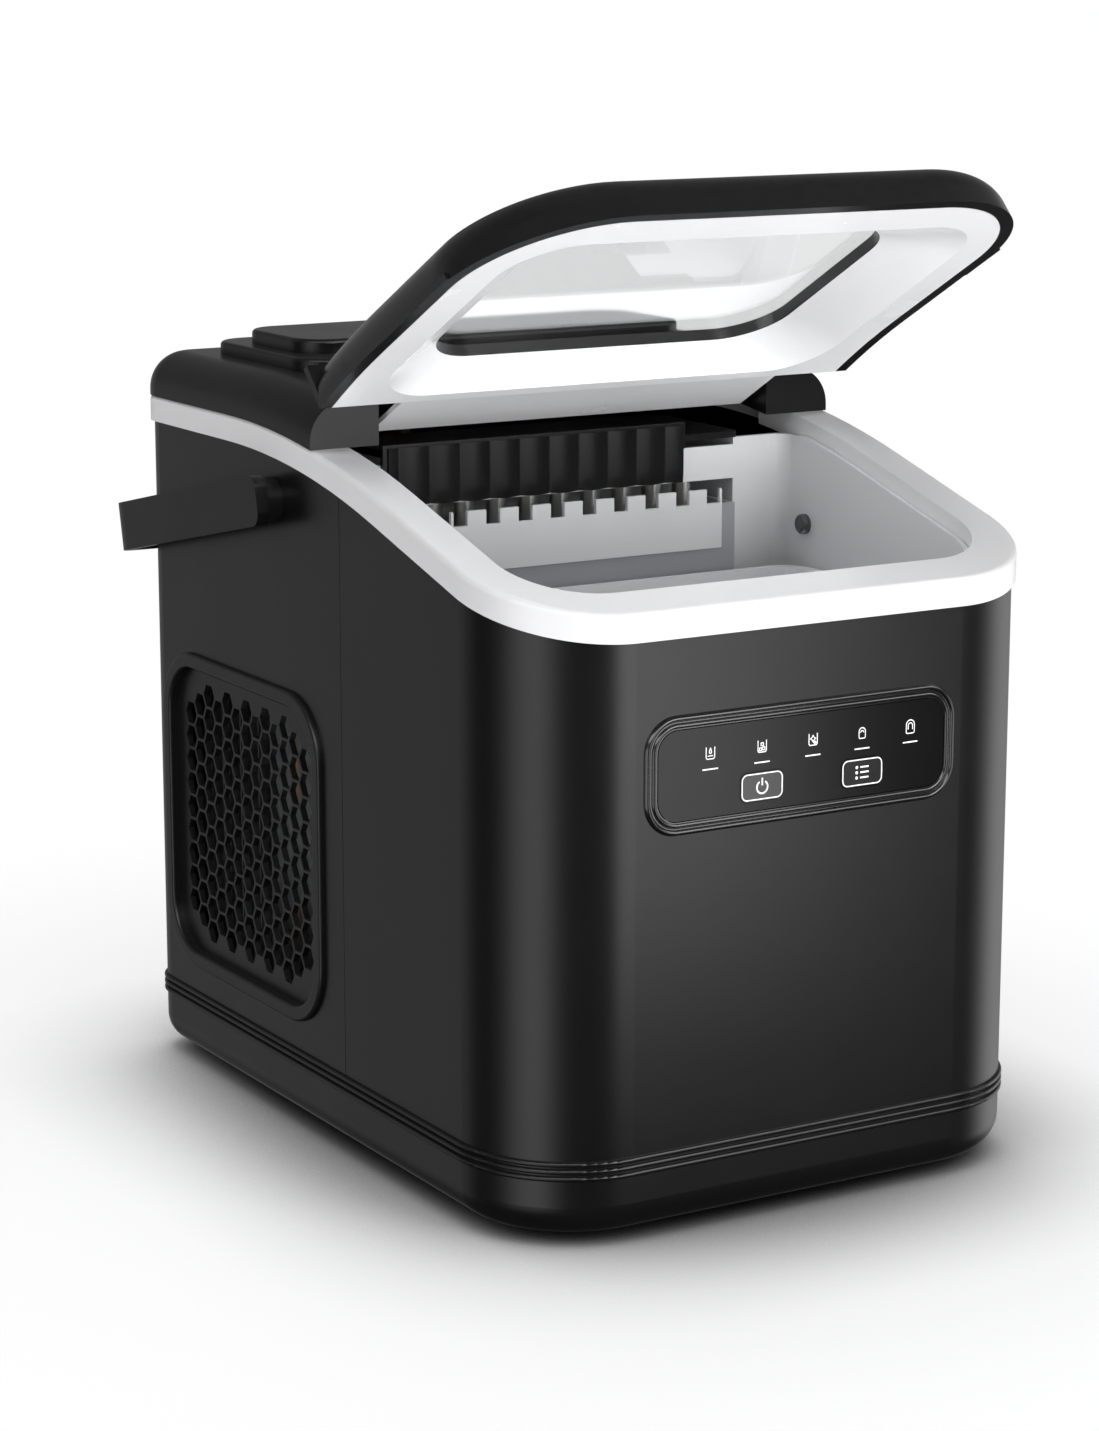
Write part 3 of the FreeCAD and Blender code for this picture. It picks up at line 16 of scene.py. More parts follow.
import bmesh
import bpy
import numpy as np
from mathutils import Euler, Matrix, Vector

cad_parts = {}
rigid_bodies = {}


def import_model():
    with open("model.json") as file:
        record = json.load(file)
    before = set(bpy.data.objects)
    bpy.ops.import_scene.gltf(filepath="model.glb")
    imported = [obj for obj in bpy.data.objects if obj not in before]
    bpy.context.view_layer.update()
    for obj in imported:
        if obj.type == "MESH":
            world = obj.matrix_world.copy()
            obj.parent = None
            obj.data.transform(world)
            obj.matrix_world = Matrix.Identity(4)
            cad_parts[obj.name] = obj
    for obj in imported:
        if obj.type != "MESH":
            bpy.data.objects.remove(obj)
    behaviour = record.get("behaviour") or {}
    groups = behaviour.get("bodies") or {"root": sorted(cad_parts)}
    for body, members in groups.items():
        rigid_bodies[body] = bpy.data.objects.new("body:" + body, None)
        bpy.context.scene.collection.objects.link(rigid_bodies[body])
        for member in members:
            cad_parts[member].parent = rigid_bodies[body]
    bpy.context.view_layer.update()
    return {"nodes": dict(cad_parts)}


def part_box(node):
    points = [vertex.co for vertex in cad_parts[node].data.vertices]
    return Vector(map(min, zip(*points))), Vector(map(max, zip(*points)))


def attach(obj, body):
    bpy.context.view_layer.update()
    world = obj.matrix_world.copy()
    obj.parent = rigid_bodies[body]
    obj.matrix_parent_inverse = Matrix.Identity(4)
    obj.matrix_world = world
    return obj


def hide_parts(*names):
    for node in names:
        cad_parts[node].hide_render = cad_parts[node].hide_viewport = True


for item in list(bpy.data.objects):
    bpy.data.objects.remove(item)
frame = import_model()
MM = 0.001


def box_edges(part):
    """A CAD part's box in millimetres, to the nearest micrometre: its low and its high corner."""
    return [np.round(np.array(corner) / MM, 3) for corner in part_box(part)]


def box_middle(part):
    """The middle of a CAD part's box, in millimetres."""
    return sum(box_edges(part)) / 2


# %% [markdown]
# ## The camera
# The view is from the front left and a little above, with a long lens, so that the upright
# edges stay almost parallel.  A camera looks along its own -Z, so a tilt of 90 degrees makes it
# level, and each degree less points it downwards.  It could follow an empty with a constraint,
# but two typed angles are simpler and never drift.

# %% Camera
EYE = (-0.6992, -1.1574, 0.4435)
VIEW_TURN, VIEW_DOWN = 30.68, 12.12
LENS, SENSOR = 90.24, 36
camera_data = bpy.data.cameras.new("camera")
camera_data.lens = LENS
camera_data.sensor_width = SENSOR
camera_data.clip_start = 0.05
camera = bpy.data.objects.new("camera", camera_data)
camera.location = EYE
camera.rotation_euler = Euler(np.radians((90 - VIEW_DOWN, 0, -VIEW_TURN)))
bpy.context.scene.collection.objects.link(camera)
bpy.context.scene.camera = camera
print("camera", [round(v, 3) for v in camera.location])

# %% [markdown]
# ## Light
# Black plastic shows hardly any colour of its own: what the eye reads is the reflection of the
# room.  In a studio, tall white panels and black flags stand round such a machine, so that its
# rounded corners carry one bright band beside a dark one.
#
# The panels could be real ones, made of glowing sheets, but each would light the floor as well.
# Here they are painted into the world as a ramp round the horizon, which only mirror-like rays
# see.  It gives way to a dim ceiling above and to darkness far below, and a canopy high in front
# catches the ridges and edges.  Matt surfaces see an even grey, and rays that look straight past
# the machine, or through its glass, see white.

# %% World
scene = bpy.context.scene
scene.view_settings.view_transform = "Standard"
FILL = 0.16
BACKGROUND_WHITE = 1.0
CEILING_LOW, CEILING_HIGH = 0.17, 0.08
CANOPY, BELOW = 3.2, 0.03
PANEL_PEAK = 1.8
# Heights are the Z of a direction: 0 is the horizon and 1 is straight up.
PANEL_TOP = 0.25
CEILING_SPAN = (0.3, 0.9)
CANOPY_FOOT, CANOPY_HEAD = (0.30, 0.45), (0.76, 0.64)
BELOW_SPAN = (-0.35, -0.6)
# How far forward a direction points before the canopy is there: from not at all to fully.
AHEAD_SPAN = (0.0, 0.4)
# Angle round the horizon in degrees, 0 in front of the machine and 90 at its right, and brightness.
PANELS = ((-180, 0.30), (-141, 0.30), (-128, 0.04), (-104, 0.02), (-92, 0.35), (-80, 1.2),
          (-64, 1.75), (-54, 1.5), (-44, 0.5), (-33, 0.02), (50, 0.02), (60, 0.1), (72, 0.8),
          (86, 1.6), (100, 1.2), (122, 0.5), (180, 0.34))


def node(tree, kind, settings=None, **inputs):
    """One shader node: settings are its properties, inputs its sockets, set or linked."""
    made = tree.nodes.new(kind)
    for name, value in (settings or {}).items():
        setattr(made, name, value)
    for name, value in inputs.items():
        socket = made.inputs[int(name[1:])] if name[0] == "_" else made.inputs[name.replace("_", " ")]
        if isinstance(value, bpy.types.NodeSocket):
            tree.links.new(value, socket)
        else:
            socket.default_value = value
    return made


def calc(tree, operation, first, second=0.0, third=0.0):
    """One number made from two or three."""
    return node(tree, "ShaderNodeMath", {"operation": operation}, _0=first, _1=second,
                _2=third).outputs[0]


def eased(tree, value, start, end, top=1.0):
    """A number that eases from 0, where value is start, to top, where value is end."""
    return node(tree, "ShaderNodeMapRange", {"interpolation_type": "SMOOTHSTEP"}, Value=value,
                From_Min=start, From_Max=end, To_Max=top).outputs[0]


world = bpy.data.worlds.new("studio")
scene.world = world
world.use_nodes = True
tree = world.node_tree
tree.nodes.clear()
path = node(tree, "ShaderNodeLightPath")
towards = node(tree, "ShaderNodeSeparateXYZ",
               _0=node(tree, "ShaderNodeTexCoord").outputs["Generated"]).outputs
front = calc(tree, "MULTIPLY", towards["Y"], -1.0)
turn = calc(tree, "ARCTAN2", towards["X"], front)
round_the_room = calc(tree, "MULTIPLY_ADD", turn, 0.5 / np.pi, 0.5)
ramp = node(tree, "ShaderNodeValToRGB", _0=round_the_room)
for angle, value in PANELS[1:-1]:
    ramp.color_ramp.elements.new(angle / 360 + 0.5)
for stop, (angle, value) in zip(ramp.color_ramp.elements, PANELS):
    stop.position = angle / 360 + 0.5
    stop.color = (*[value / PANEL_PEAK] * 3, 1)
panels = calc(tree, "MULTIPLY", ramp.outputs["Color"], PANEL_PEAK)
above_panels = eased(tree, towards["Z"], 0.0, PANEL_TOP)
ceiling = node(tree, "ShaderNodeMapRange", Value=towards["Z"], From_Min=CEILING_SPAN[0],
               From_Max=CEILING_SPAN[1], To_Min=CEILING_LOW, To_Max=CEILING_HIGH).outputs[0]
rise = eased(tree, towards["Z"], *CANOPY_FOOT)
fall = eased(tree, towards["Z"], *CANOPY_HEAD, CANOPY)
ahead = eased(tree, front, *AHEAD_SPAN)
canopy = calc(tree, "MULTIPLY", calc(tree, "MULTIPLY", rise, fall), ahead)
upper = calc(tree, "ADD", ceiling, canopy)
mirrored = node(tree, "ShaderNodeMix", _0=above_panels, _2=panels, _3=upper).outputs[0]
depth = eased(tree, towards["Z"], *BELOW_SPAN)
mirrored = node(tree, "ShaderNodeMix", _0=depth, _2=mirrored, _3=BELOW).outputs[0]
room = node(tree, "ShaderNodeMix", _0=path.outputs["Is Glossy Ray"], _2=FILL, _3=mirrored).outputs[0]
seen = calc(tree, "MAXIMUM", path.outputs["Is Camera Ray"], path.outputs["Is Transmission Ray"])
strength = node(tree, "ShaderNodeMix", _0=seen, _2=room, _3=BACKGROUND_WHITE).outputs[0]
sky = node(tree, "ShaderNodeBackground", Color=(1, 1, 1, 1), Strength=strength)
node(tree, "ShaderNodeOutputWorld", Surface=sky.outputs[0])
print("world with", len(PANELS), "stops round the horizon")

# %% [markdown]
# The lamps do the rest.  They are area lamps, because a point or a sun would draw hard shadows.
# A tall soft box stands close in front, a little to the right, and reaches down past the floor;
# its reflection fades across the front face because it is so near.
# A wide one overhead lights the white bin, and one high behind the machine drops its shadow a
# little way forward.  Three more fill from the front, from below and from the left.  Only the
# tall one shows to mirror-like rays.

# %% Lamps
def softbox(name, place, aim, width, height, power, mirrored):
    """A rectangular area lamp at a place, turned to face a point."""
    data = bpy.data.lights.new(name, "AREA")
    data.shape, data.size, data.size_y, data.energy = "RECTANGLE", width, height, power
    lamp = bpy.data.objects.new(name, data)
    lamp.location = place
    lamp.rotation_euler = (Vector(aim) - Vector(place)).to_track_quat("-Z", "Y").to_euler()
    lamp.visible_glossy = mirrored
    lamp.visible_camera = False
    scene.collection.objects.link(lamp)
    return lamp


CENTRE = (0, 0, 0.15)
softbox("tall_front", (0.235, -0.75, 0.39), (0.235, 0.0, 0.39), 0.35, 0.96, 3.1, True)
softbox("overhead", (-0.25, -0.30, 1.6), CENTRE, 1.0, 0.7, 7, False)
softbox("behind", (0.05, 0.40, 1.6), CENTRE, 0.7, 0.5, 9, False)
softbox("front_fill", (-0.2, -1.6, 0.15), CENTRE, 1.2, 0.6, 12, False)
softbox("low_fill", (0.1, -0.9, 0.06), (0, -0.05, 0.33), 0.6, 0.3, 2.2, False)
softbox("left_fill", (-1.6, 0.0, 0.8), CENTRE, 0.9, 0.9, 8, False)

# %% [markdown]
# ## The floor
# The machine stands on a plain white sheet.  A shadow catcher would leave only the shadow, but it
# needs a second picture to lie on.  So the sheet is an ordinary matt surface close to the
# machine, where it takes the soft contact shadow, and further out it fades into the white of the
# background in two steps.  An occlusion node finds where something stands close above the sheet
# and darkens the sheet's colour and glow there: a painted contact shadow that deepens the cast one.
# Mirror-like rays pass through the floor to the painted panels, which therefore reach down to the
# machine's foot.

# %% Floor
FLOOR_HALF = 3.0
# Each step: distances from the middle where it starts and ends, and the share of glow it adds.
NEAR_GLOW, FAR_GLOW = (0.11, 0.25, 0.65), (0.24, 0.50, 0.35)
# Distances are stretched along X, as the machine is deeper than it is wide.
SIDEWAYS = 1.35
# How far the painted contact shadow reaches, in metres, and how steeply it deepens.
SHADOW_REACH, SHADOW_DEPTH = 0.09, 1.7
SHEET_COLOUR = (0.93, 0.93, 0.935)
floor_mesh = bpy.data.meshes.new("floor")
corners = np.array([(-1, -1, 0), (1, -1, 0), (1, 1, 0), (-1, 1, 0)]) * FLOOR_HALF
floor_mesh.from_pydata(corners.tolist(), [], [(0, 1, 2, 3)])
floor = bpy.data.objects.new("floor", floor_mesh)
scene.collection.objects.link(floor)
floor.visible_glossy = False
paper = bpy.data.materials.new("paper")
paper.use_nodes = True
tree = paper.node_tree
tree.nodes.clear()
where = node(tree, "ShaderNodeTexCoord").outputs["Object"]
squeezed = node(tree, "ShaderNodeVectorMath", {"operation": "MULTIPLY"}, _0=where,
                _1=(SIDEWAYS, 1, 1))
far_off = node(tree, "ShaderNodeVectorMath", {"operation": "LENGTH"},
               _0=squeezed.outputs[0]).outputs["Value"]
fade = calc(tree, "ADD", eased(tree, far_off, *NEAR_GLOW), eased(tree, far_off, *FAR_GLOW))
# Painted shade: the occlusion darkens the sheet's colour and its glow close under and beside the
# machine.
open_above = node(tree, "ShaderNodeAmbientOcclusion", {"samples": 8},
                  Distance=SHADOW_REACH).outputs["AO"]
shade = calc(tree, "POWER", open_above, SHADOW_DEPTH)
path = node(tree, "ShaderNodeLightPath")
looked_at = calc(tree, "MAXIMUM", path.outputs["Is Camera Ray"], path.outputs["Is Transmission Ray"])
share = calc(tree, "MULTIPLY", calc(tree, "MULTIPLY", fade, shade), looked_at)
grey = node(tree, "ShaderNodeVectorMath", {"operation": "SCALE"}, _0=SHEET_COLOUR,
            Scale=shade).outputs[0]
sheet = node(tree, "ShaderNodeBsdfDiffuse", Color=grey)
glow = node(tree, "ShaderNodeEmission", Color=(1, 1, 1, 1), Strength=1.0)
mixed = node(tree, "ShaderNodeMixShader", Fac=share, _1=sheet.outputs[0], _2=glow.outputs[0])
node(tree, "ShaderNodeOutputMaterial", Surface=mixed.outputs[0])
floor_mesh.materials.append(paper)
print("floor", FLOOR_HALF * 2, "m square")

# %% [markdown]
# ## Finishes shared by many parts
# Moulded plastic is never quite even.  The steel mould leaves a fine grain, the colour drifts by
# a few per cent where the flow was thicker, hands and cloths change the gloss in soft patches,
# and a little dust lies on what faces up.  Painted textures could show all this, but they would
# need every part unwrapped.  One node group gives all four from the object's own coordinates
# instead, and each material chooses how much of each it has.

# %% Group: moulded skin
def new_group(name, inputs, outputs):
    """An empty shader group with the named sockets, and its two end nodes."""
    group = bpy.data.node_groups.new(name, "ShaderNodeTree")
    for socket, kind, value in inputs:
        group.interface.new_socket(socket, in_out="INPUT", socket_type=kind).default_value = value
    for socket, kind in outputs:
        group.interface.new_socket(socket, in_out="OUTPUT", socket_type=kind)
    return group, group.nodes.new("NodeGroupInput").outputs, group.nodes.new("NodeGroupOutput").inputs


def scaled_noise(tree, place, size, detail):
    """Noise whose features are about size metres across, 0 to 1."""
    return node(tree, "ShaderNodeTexNoise", Vector=place, Scale=1 / size,
                Detail=detail).outputs["Fac"]


COLOUR, NUMBER = "NodeSocketColor", "NodeSocketFloat"
DRIFT_SIZE, HANDLING_SIZE, DUST_SIZE, GRAIN_SIZE = 0.09, 0.025, 0.0035, 0.00045
DUST_COLOUR = (0.55, 0.54, 0.52, 1)
# Dust lies on a surface whose normal's Z is above this, and it adds to the roughness.
DUST_FROM, DUST_DULLS = 0.2, 0.3
skin, given, out = new_group(
    "moulded_skin",
    [("Colour", COLOUR, (0.5, 0.5, 0.5, 1)), ("Roughness", NUMBER, 0.4), ("Drift", NUMBER, 0.08),
     ("Handling", NUMBER, 0.08), ("Dust", NUMBER, 0.02), ("Grain", NUMBER, 1.0)],
    [("Colour", COLOUR), ("Roughness", NUMBER), ("Height", NUMBER)])
place = node(skin, "ShaderNodeTexCoord").outputs["Object"]
broad = scaled_noise(skin, place, DRIFT_SIZE, 2)
patches = scaled_noise(skin, place, HANDLING_SIZE, 5)
specks = scaled_noise(skin, place, DUST_SIZE, 3)
grain = scaled_noise(skin, place, GRAIN_SIZE, 2)
swing = calc(skin, "MULTIPLY_ADD", broad, 2.0, -1.0)
factor = calc(skin, "MULTIPLY_ADD", swing, given["Drift"], 1.0)
drifted = node(skin, "ShaderNodeVectorMath", {"operation": "SCALE"}, _0=given["Colour"], Scale=factor)
upward = node(skin, "ShaderNodeSeparateXYZ",
              _0=node(skin, "ShaderNodeNewGeometry").outputs["Normal"]).outputs["Z"]
facing = node(skin, "ShaderNodeMapRange", Value=upward, From_Min=DUST_FROM,
              From_Max=1.0).outputs[0]
settled = calc(skin, "MULTIPLY", calc(skin, "MULTIPLY", facing, specks), given["Dust"])
dusty = node(skin, "ShaderNodeMix", {"data_type": "RGBA"}, _0=settled, _6=drifted.outputs[0],
             _7=DUST_COLOUR)
skin.links.new(dusty.outputs[2], out["Colour"])
rubbed = calc(skin, "MULTIPLY_ADD", calc(skin, "SUBTRACT", patches, 0.5), given["Handling"],
              given["Roughness"])
skin.links.new(calc(skin, "MULTIPLY_ADD", settled, DUST_DULLS, rubbed), out["Roughness"])
skin.links.new(calc(skin, "MULTIPLY", grain, given["Grain"]), out["Height"])
print("group", skin.name, [s.name for s in skin.interface.items_tree])

# %% [markdown]
# Metal parts are drawn, rolled or ground in one direction, which leaves fine lines.  An
# anisotropic shader could stretch the highlights as such lines do, but it needs a direction at
# each point of the surface, which CAD triangles don't carry.  So the second group stretches noise
# along the object's own axes to make the lines, and adds darker, duller stains as tarnish would.

# %% Group: worked metal
LINES_PER_METRE, LINE_DULLS, STAIN_SIZE = 1400.0, 0.12, 0.012
metal, given, out = new_group(
    "worked_metal",
    [("Colour", COLOUR, (0.7, 0.7, 0.7, 1)), ("Roughness", NUMBER, 0.3), ("Tarnish", NUMBER, 0.15),
     ("Stretch", "NodeSocketVector", (1, 1, 1))],
    [("Colour", COLOUR), ("Roughness", NUMBER), ("Height", NUMBER)])
place = node(metal, "ShaderNodeTexCoord").outputs["Object"]
along = node(metal, "ShaderNodeVectorMath", {"operation": "MULTIPLY"}, _0=place, _1=given["Stretch"])
lines = node(metal, "ShaderNodeTexNoise", Vector=along.outputs[0],
             Scale=LINES_PER_METRE, Detail=3.0).outputs["Fac"]
stains = scaled_noise(metal, place, STAIN_SIZE, 4)
dulled = calc(metal, "MULTIPLY", stains, given["Tarnish"])
darker = node(metal, "ShaderNodeVectorMath", {"operation": "SCALE"}, _0=given["Colour"],
              Scale=calc(metal, "SUBTRACT", 1.0, dulled))
metal.links.new(darker.outputs[0], out["Colour"])
even = calc(metal, "ADD", given["Roughness"], dulled)
lined = calc(metal, "MULTIPLY_ADD", calc(metal, "SUBTRACT", lines, 0.5), LINE_DULLS, even)
metal.links.new(lined, out["Roughness"])
metal.links.new(lines, out["Height"])
print("group", metal.name)

# %% [markdown]
# A material is then one Principled shader fed by one of the groups.  Each could be wired by hand,
# but a function wires them all alike.  The fixed numbers, such as the index of refraction or a
# coat's roughness, are typed on the shader's own sockets.

# %% Materials from the groups
# How far the finest height moves a surface, in metres.
SMEAR, FINE, COARSE = 0.000001, 0.00001, 0.00004


def material(name, group, bump, settings=None, **values):
    """A Principled material fed by a group: values go to the group, settings to the shader."""
    made = bpy.data.materials.new(name)
    made.use_nodes = True
    tree = made.node_tree
    shader = tree.nodes["Principled BSDF"]
    made_by = node(tree, "ShaderNodeGroup", {"node_tree": group},
                   **{k: (*v, 1) if k == "Colour" else v for k, v in values.items()})
    tree.links.new(made_by.outputs["Colour"], shader.inputs["Base Color"])
    tree.links.new(made_by.outputs["Roughness"], shader.inputs["Roughness"])
    raised = node(tree, "ShaderNodeBump", Strength=1.0, Distance=bump,
                  Height=made_by.outputs["Height"])
    tree.links.new(raised.outputs[0], shader.inputs["Normal"])
    for socket, value in (settings or {}).items():
        shader.inputs[socket].default_value = value
    return made


def plastic(name, colour, roughness, bump=FINE, coat=0.0, gloss=0.5, **values):
    """Moulded plastic, with a clear coat where it is polished."""
    settings = {"Coat Weight": coat, "Coat Roughness": 0.06, "Specular IOR Level": gloss}
    return material(name, skin, bump, settings, Colour=colour, Roughness=roughness, **values)


def worked(name, colour, roughness, stretch=(1, 1, 1), tarnish=0.15):
    """Bare metal with its working lines."""
    return material(name, metal, FINE, {"Metallic": 1.0}, Colour=colour, Roughness=roughness,
                    Stretch=stretch, Tarnish=tarnish)


print("materials come from", skin.name, "and", metal.name)

# %% [markdown]
# ## The finishes
# Colours are linear light, so a black plastic is about 0.005 and a white one about 0.8.  The
# blacks are that dark because nearly all their brightness is reflection.  The outer skin is satin,
# the lid and the panel are smoother, and the lid's liner and the rim have a faint coat.  Parts
# that face the freezing chamber are darker still and reflect little: black plastic with painted
# shade, so that the chamber reads as a dark hollow.

# %% Finishes
finish = {
    "cabinet": plastic("cabinet_black", (0.0045, 0.0045, 0.0049), 0.30, Drift=0.15, Handling=0.06),
    "base": plastic("base_black", (0.0045, 0.0045, 0.0049), 0.30),
    "vent": plastic("vent_black", (0.0070, 0.0070, 0.0075), 0.36),
    "handle": plastic("handle_black", (0.0055, 0.0055, 0.0060), 0.34, gloss=0.4),
    "pivot": plastic("pivot_black", (0.0080, 0.0080, 0.0085), 0.34),
    "lid": plastic("lid_black", (0.0055, 0.0055, 0.0060), 0.24, coat=0.1, gloss=0.4, Handling=0.05),
    "cover": plastic("cover_black", (0.0065, 0.0065, 0.0070), 0.30, gloss=0.35, Handling=0.06),
    "bezel": plastic("bezel_black", (0.0050, 0.0050, 0.0055), 0.20, coat=0.5, gloss=0.7),
    "fascia": plastic("fascia_black", (0.0035, 0.0035, 0.0038), 0.19, gloss=0.3, Handling=0.03),
    "key": plastic("key_black", (0.0060, 0.0060, 0.0065), 0.22, coat=0.4),
    "trim": plastic("trim_white", (0.74, 0.74, 0.75), 0.30, coat=0.15, Drift=0.02, Dust=0.01),
    "liner": plastic("liner_white", (0.88, 0.88, 0.89), 0.26, coat=0.25, Drift=0.02, Dust=0.01),
    "tank": plastic("tank_white", (0.66, 0.67, 0.68), 0.38, Drift=0.03),
    "basket": plastic("basket_white", (0.72, 0.73, 0.74), 0.34, Drift=0.03),
    "tray": plastic("tray_grey", (0.30, 0.31, 0.32), 0.40, Drift=0.05),
    "pusher": plastic("pusher_white", (0.62, 0.63, 0.64), 0.40),
    # Black plastic darkened further as painted shade for the inside of the freezing chamber.
    "chamber": plastic("chamber_black_painted_shade", (0.003, 0.003, 0.0035), 0.30, gloss=0.22),
    "motor": plastic("motor_grey", (0.16, 0.16, 0.17), 0.5),
    "pump": plastic("pump_white", (0.62, 0.62, 0.61), 0.5),
    "drain": plastic("drain_white", (0.62, 0.62, 0.61), 0.45),
    "fan": plastic("fan_black", (0.018, 0.018, 0.019), 0.5),
    "rotor": plastic("rotor_black", (0.024, 0.024, 0.026), 0.45),
    "rubber": plastic("foot_rubber", (0.020, 0.020, 0.020), 0.75, COARSE, Dust=0.1),
    "steel": worked("pin_steel", (0.56, 0.57, 0.58), 0.28, (1, 12, 12)),
    "aluminium": worked("plate_aluminium", (0.70, 0.71, 0.72), 0.34, (0.1, 2, 2)),
    # Darker than bare aluminium: painted shade for the dim inside of the cabinet seen through the
    # vents.
    "fins": worked("fin_aluminium", (0.34, 0.35, 0.36), 0.42, (0.1, 2, 2)),
    "copper": worked("coil_copper", (0.72, 0.36, 0.22), 0.30, (2, 2, 2), 0.35),
    "nickel": worked("finger_nickel", (0.62, 0.61, 0.58), 0.24, (2, 2, 0.1)),
    "brass": worked("valve_brass", (0.70, 0.52, 0.24), 0.32),
}
print(len(finish), "finishes")

# %% [markdown]
# Most finishes dress several CAD parts.  A material could be set on each part where it is made,
# but one list shows at a glance which parts look alike.

# %% Which part has which finish
parts_of = {
    "cabinet": ["front_wrap", "rear_housing"],
    "base": ["base_tray"],
    "vent": ["side_vent_left", "side_vent_right"],
    "handle": ["handle_arm_left", "handle_arm_right"],
    "pivot": ["handle_pivots"],
    "lid": ["lid_frame"],
    "cover": ["top_cover"],
    "bezel": ["control_bezel"],
    "fascia": ["control_fascia"],
    "key": ["power_button", "select_button"],
    "trim": ["rim_trim"],
    "liner": ["lid_liner"],
    "tank": ["inner_tank"],
    "basket": ["ice_basket"],
    "tray": ["water_tray"],
    "pusher": ["ice_pusher"],
    "chamber": ["evaporator_cover"],
    "motor": ["tray_motor"],
    "pump": ["water_pump"],
    "drain": ["drain_tube"],
    "fan": ["fan_frame"],
    "rubber": ["feet", "compressor_mounts", "drain_cap", "cord_gland"],
    "steel": ["hinge_pins", "tray_shaft", "fan_motor"],
    "aluminium": ["evaporator_plate"],
    "fins": ["condenser_fins"],
    "copper": ["evaporator_coil", "condenser_coil", "discharge_line", "liquid_line", "filter_drier",
               "capillary_tube", "bypass_line", "suction_line"],
    "nickel": ["freezing_fingers"],
    "brass": ["hot_gas_valve"],
}


def dress(part, with_finish):
    """Give a CAD part one material, in place of the one it was packed with."""
    part.data.materials.clear()
    part.data.materials.append(with_finish)


for name, parts in parts_of.items():
    for part in parts:
        dress(frame["nodes"][part], finish[name])
print("dressed", sum(map(len, parts_of.values())), "parts")

# %% [markdown]
# ## Finishes that only one or two parts have
# The lid's window, the smoked sensor lenses and the milky hose let light through.  A transparent
# shader would be quicker, but it wouldn't mirror or bend the light, so they are glass-like
# shaders.  The compressor has a deep enamel: a black plastic under a strong clear coat.

# %% Clear and milky finishes
def see_through(name, colour, roughness, milky=0.0, index=1.45):
    """Glass or clear plastic, with the faint smears of a cloth in its gloss."""
    return material(name, skin, SMEAR, {"Transmission Weight": 1.0 - milky, "IOR": index},
                    Colour=colour, Roughness=roughness, Handling=0.02, Dust=0.004, Drift=0.01)


finish["window"] = see_through("window_clear", (0.96, 0.97, 0.975), 0.02)
finish["sensor"] = see_through("sensor_smoke", (0.20, 0.20, 0.22), 0.12, 0.2)
finish["hose"] = see_through("hose_silicone", (0.80, 0.82, 0.82), 0.30, 0.5, 1.41)
finish["enamel"] = plastic("compressor_enamel", (0.010, 0.010, 0.011), 0.20, coat=0.8, Dust=0.08)
for part, name in (("lid_window", "window"), ("ice_sensors", "sensor"), ("pump_hose", "hose"),
                   ("compressor", "enamel")):
    dress(frame["nodes"][part], finish[name])
print("dressed the window, the sensors, the hose and the compressor")

# %% [markdown]
# The foam shows its cells: the distance to the nearest cell wall is its height.  Modelled cells
# would be thousands of faces inside the walls.  A circuit board has a green mask over rows of
# copper tracks, and a pattern of bricks stands in for them, with the tracks as the mortar.

# %% Foam and circuit boards
CELLS_PER_METRE, CELL_DEPTH = 900.0, 0.0003
TRACKS_PER_METRE, TRACK_WIDTH = 60.0, 0.012
MASK, MASK_PALE, TRACK = (0.010, 0.075, 0.035), (0.014, 0.095, 0.045, 1), (0.05, 0.16, 0.06, 1)
foam = plastic("foam_yellow", (0.70, 0.58, 0.33), 0.9)
tree = foam.node_tree
cells = node(tree, "ShaderNodeTexVoronoi", {"feature": "DISTANCE_TO_EDGE"}, Scale=CELLS_PER_METRE,
             Vector=node(tree, "ShaderNodeTexCoord").outputs["Object"])
tree.nodes["Bump"].inputs["Distance"].default_value = CELL_DEPTH
tree.links.new(cells.outputs["Distance"], tree.nodes["Bump"].inputs["Height"])
board = plastic("board_green", MASK, 0.30, coat=0.5)
tree = board.node_tree
tracks = node(tree, "ShaderNodeTexBrick", Vector=node(tree, "ShaderNodeTexCoord").outputs["Object"],
              Color1=(*MASK, 1), Color2=MASK_PALE, Mortar=TRACK, Scale=TRACKS_PER_METRE,
              Mortar_Size=TRACK_WIDTH)
tree.links.new(tracks.outputs["Color"], tree.nodes["Principled BSDF"].inputs["Base Color"])
for part, with_finish in (("insulation", foam), ("control_board", board), ("power_board", board)):
    dress(frame["nodes"][part], with_finish)
print("dressed the foam and two circuit boards")

# %% [markdown]
# ## Surfaces from arrays
# Each added piece is a grid of points worked out with numpy: its rows follow a path and its
# columns go once round a section.  Such pieces could be pushed into shape by hand or with
# modifiers, but a formula gives the same shape every time and says what it is.  One helper turns
# the grids into a mesh: it joins each point to the next in its row and column, and closes the two
# open ends with a flat cap.

# %% From grids to a piece
def quads(rows, columns, ring):
    """Corner numbers of the quads between neighbours; a ring also joins its last row to its first."""
    row, column = np.meshgrid(np.arange(rows if ring else rows - 1), np.arange(columns), indexing="ij")
    next_row, next_column = (row + 1) % rows, (column + 1) % columns
    corners = (row * columns + column, next_row * columns + column,
               next_row * columns + next_column, row * columns + next_column)
    return np.stack(corners, -1).reshape(-1, 4)


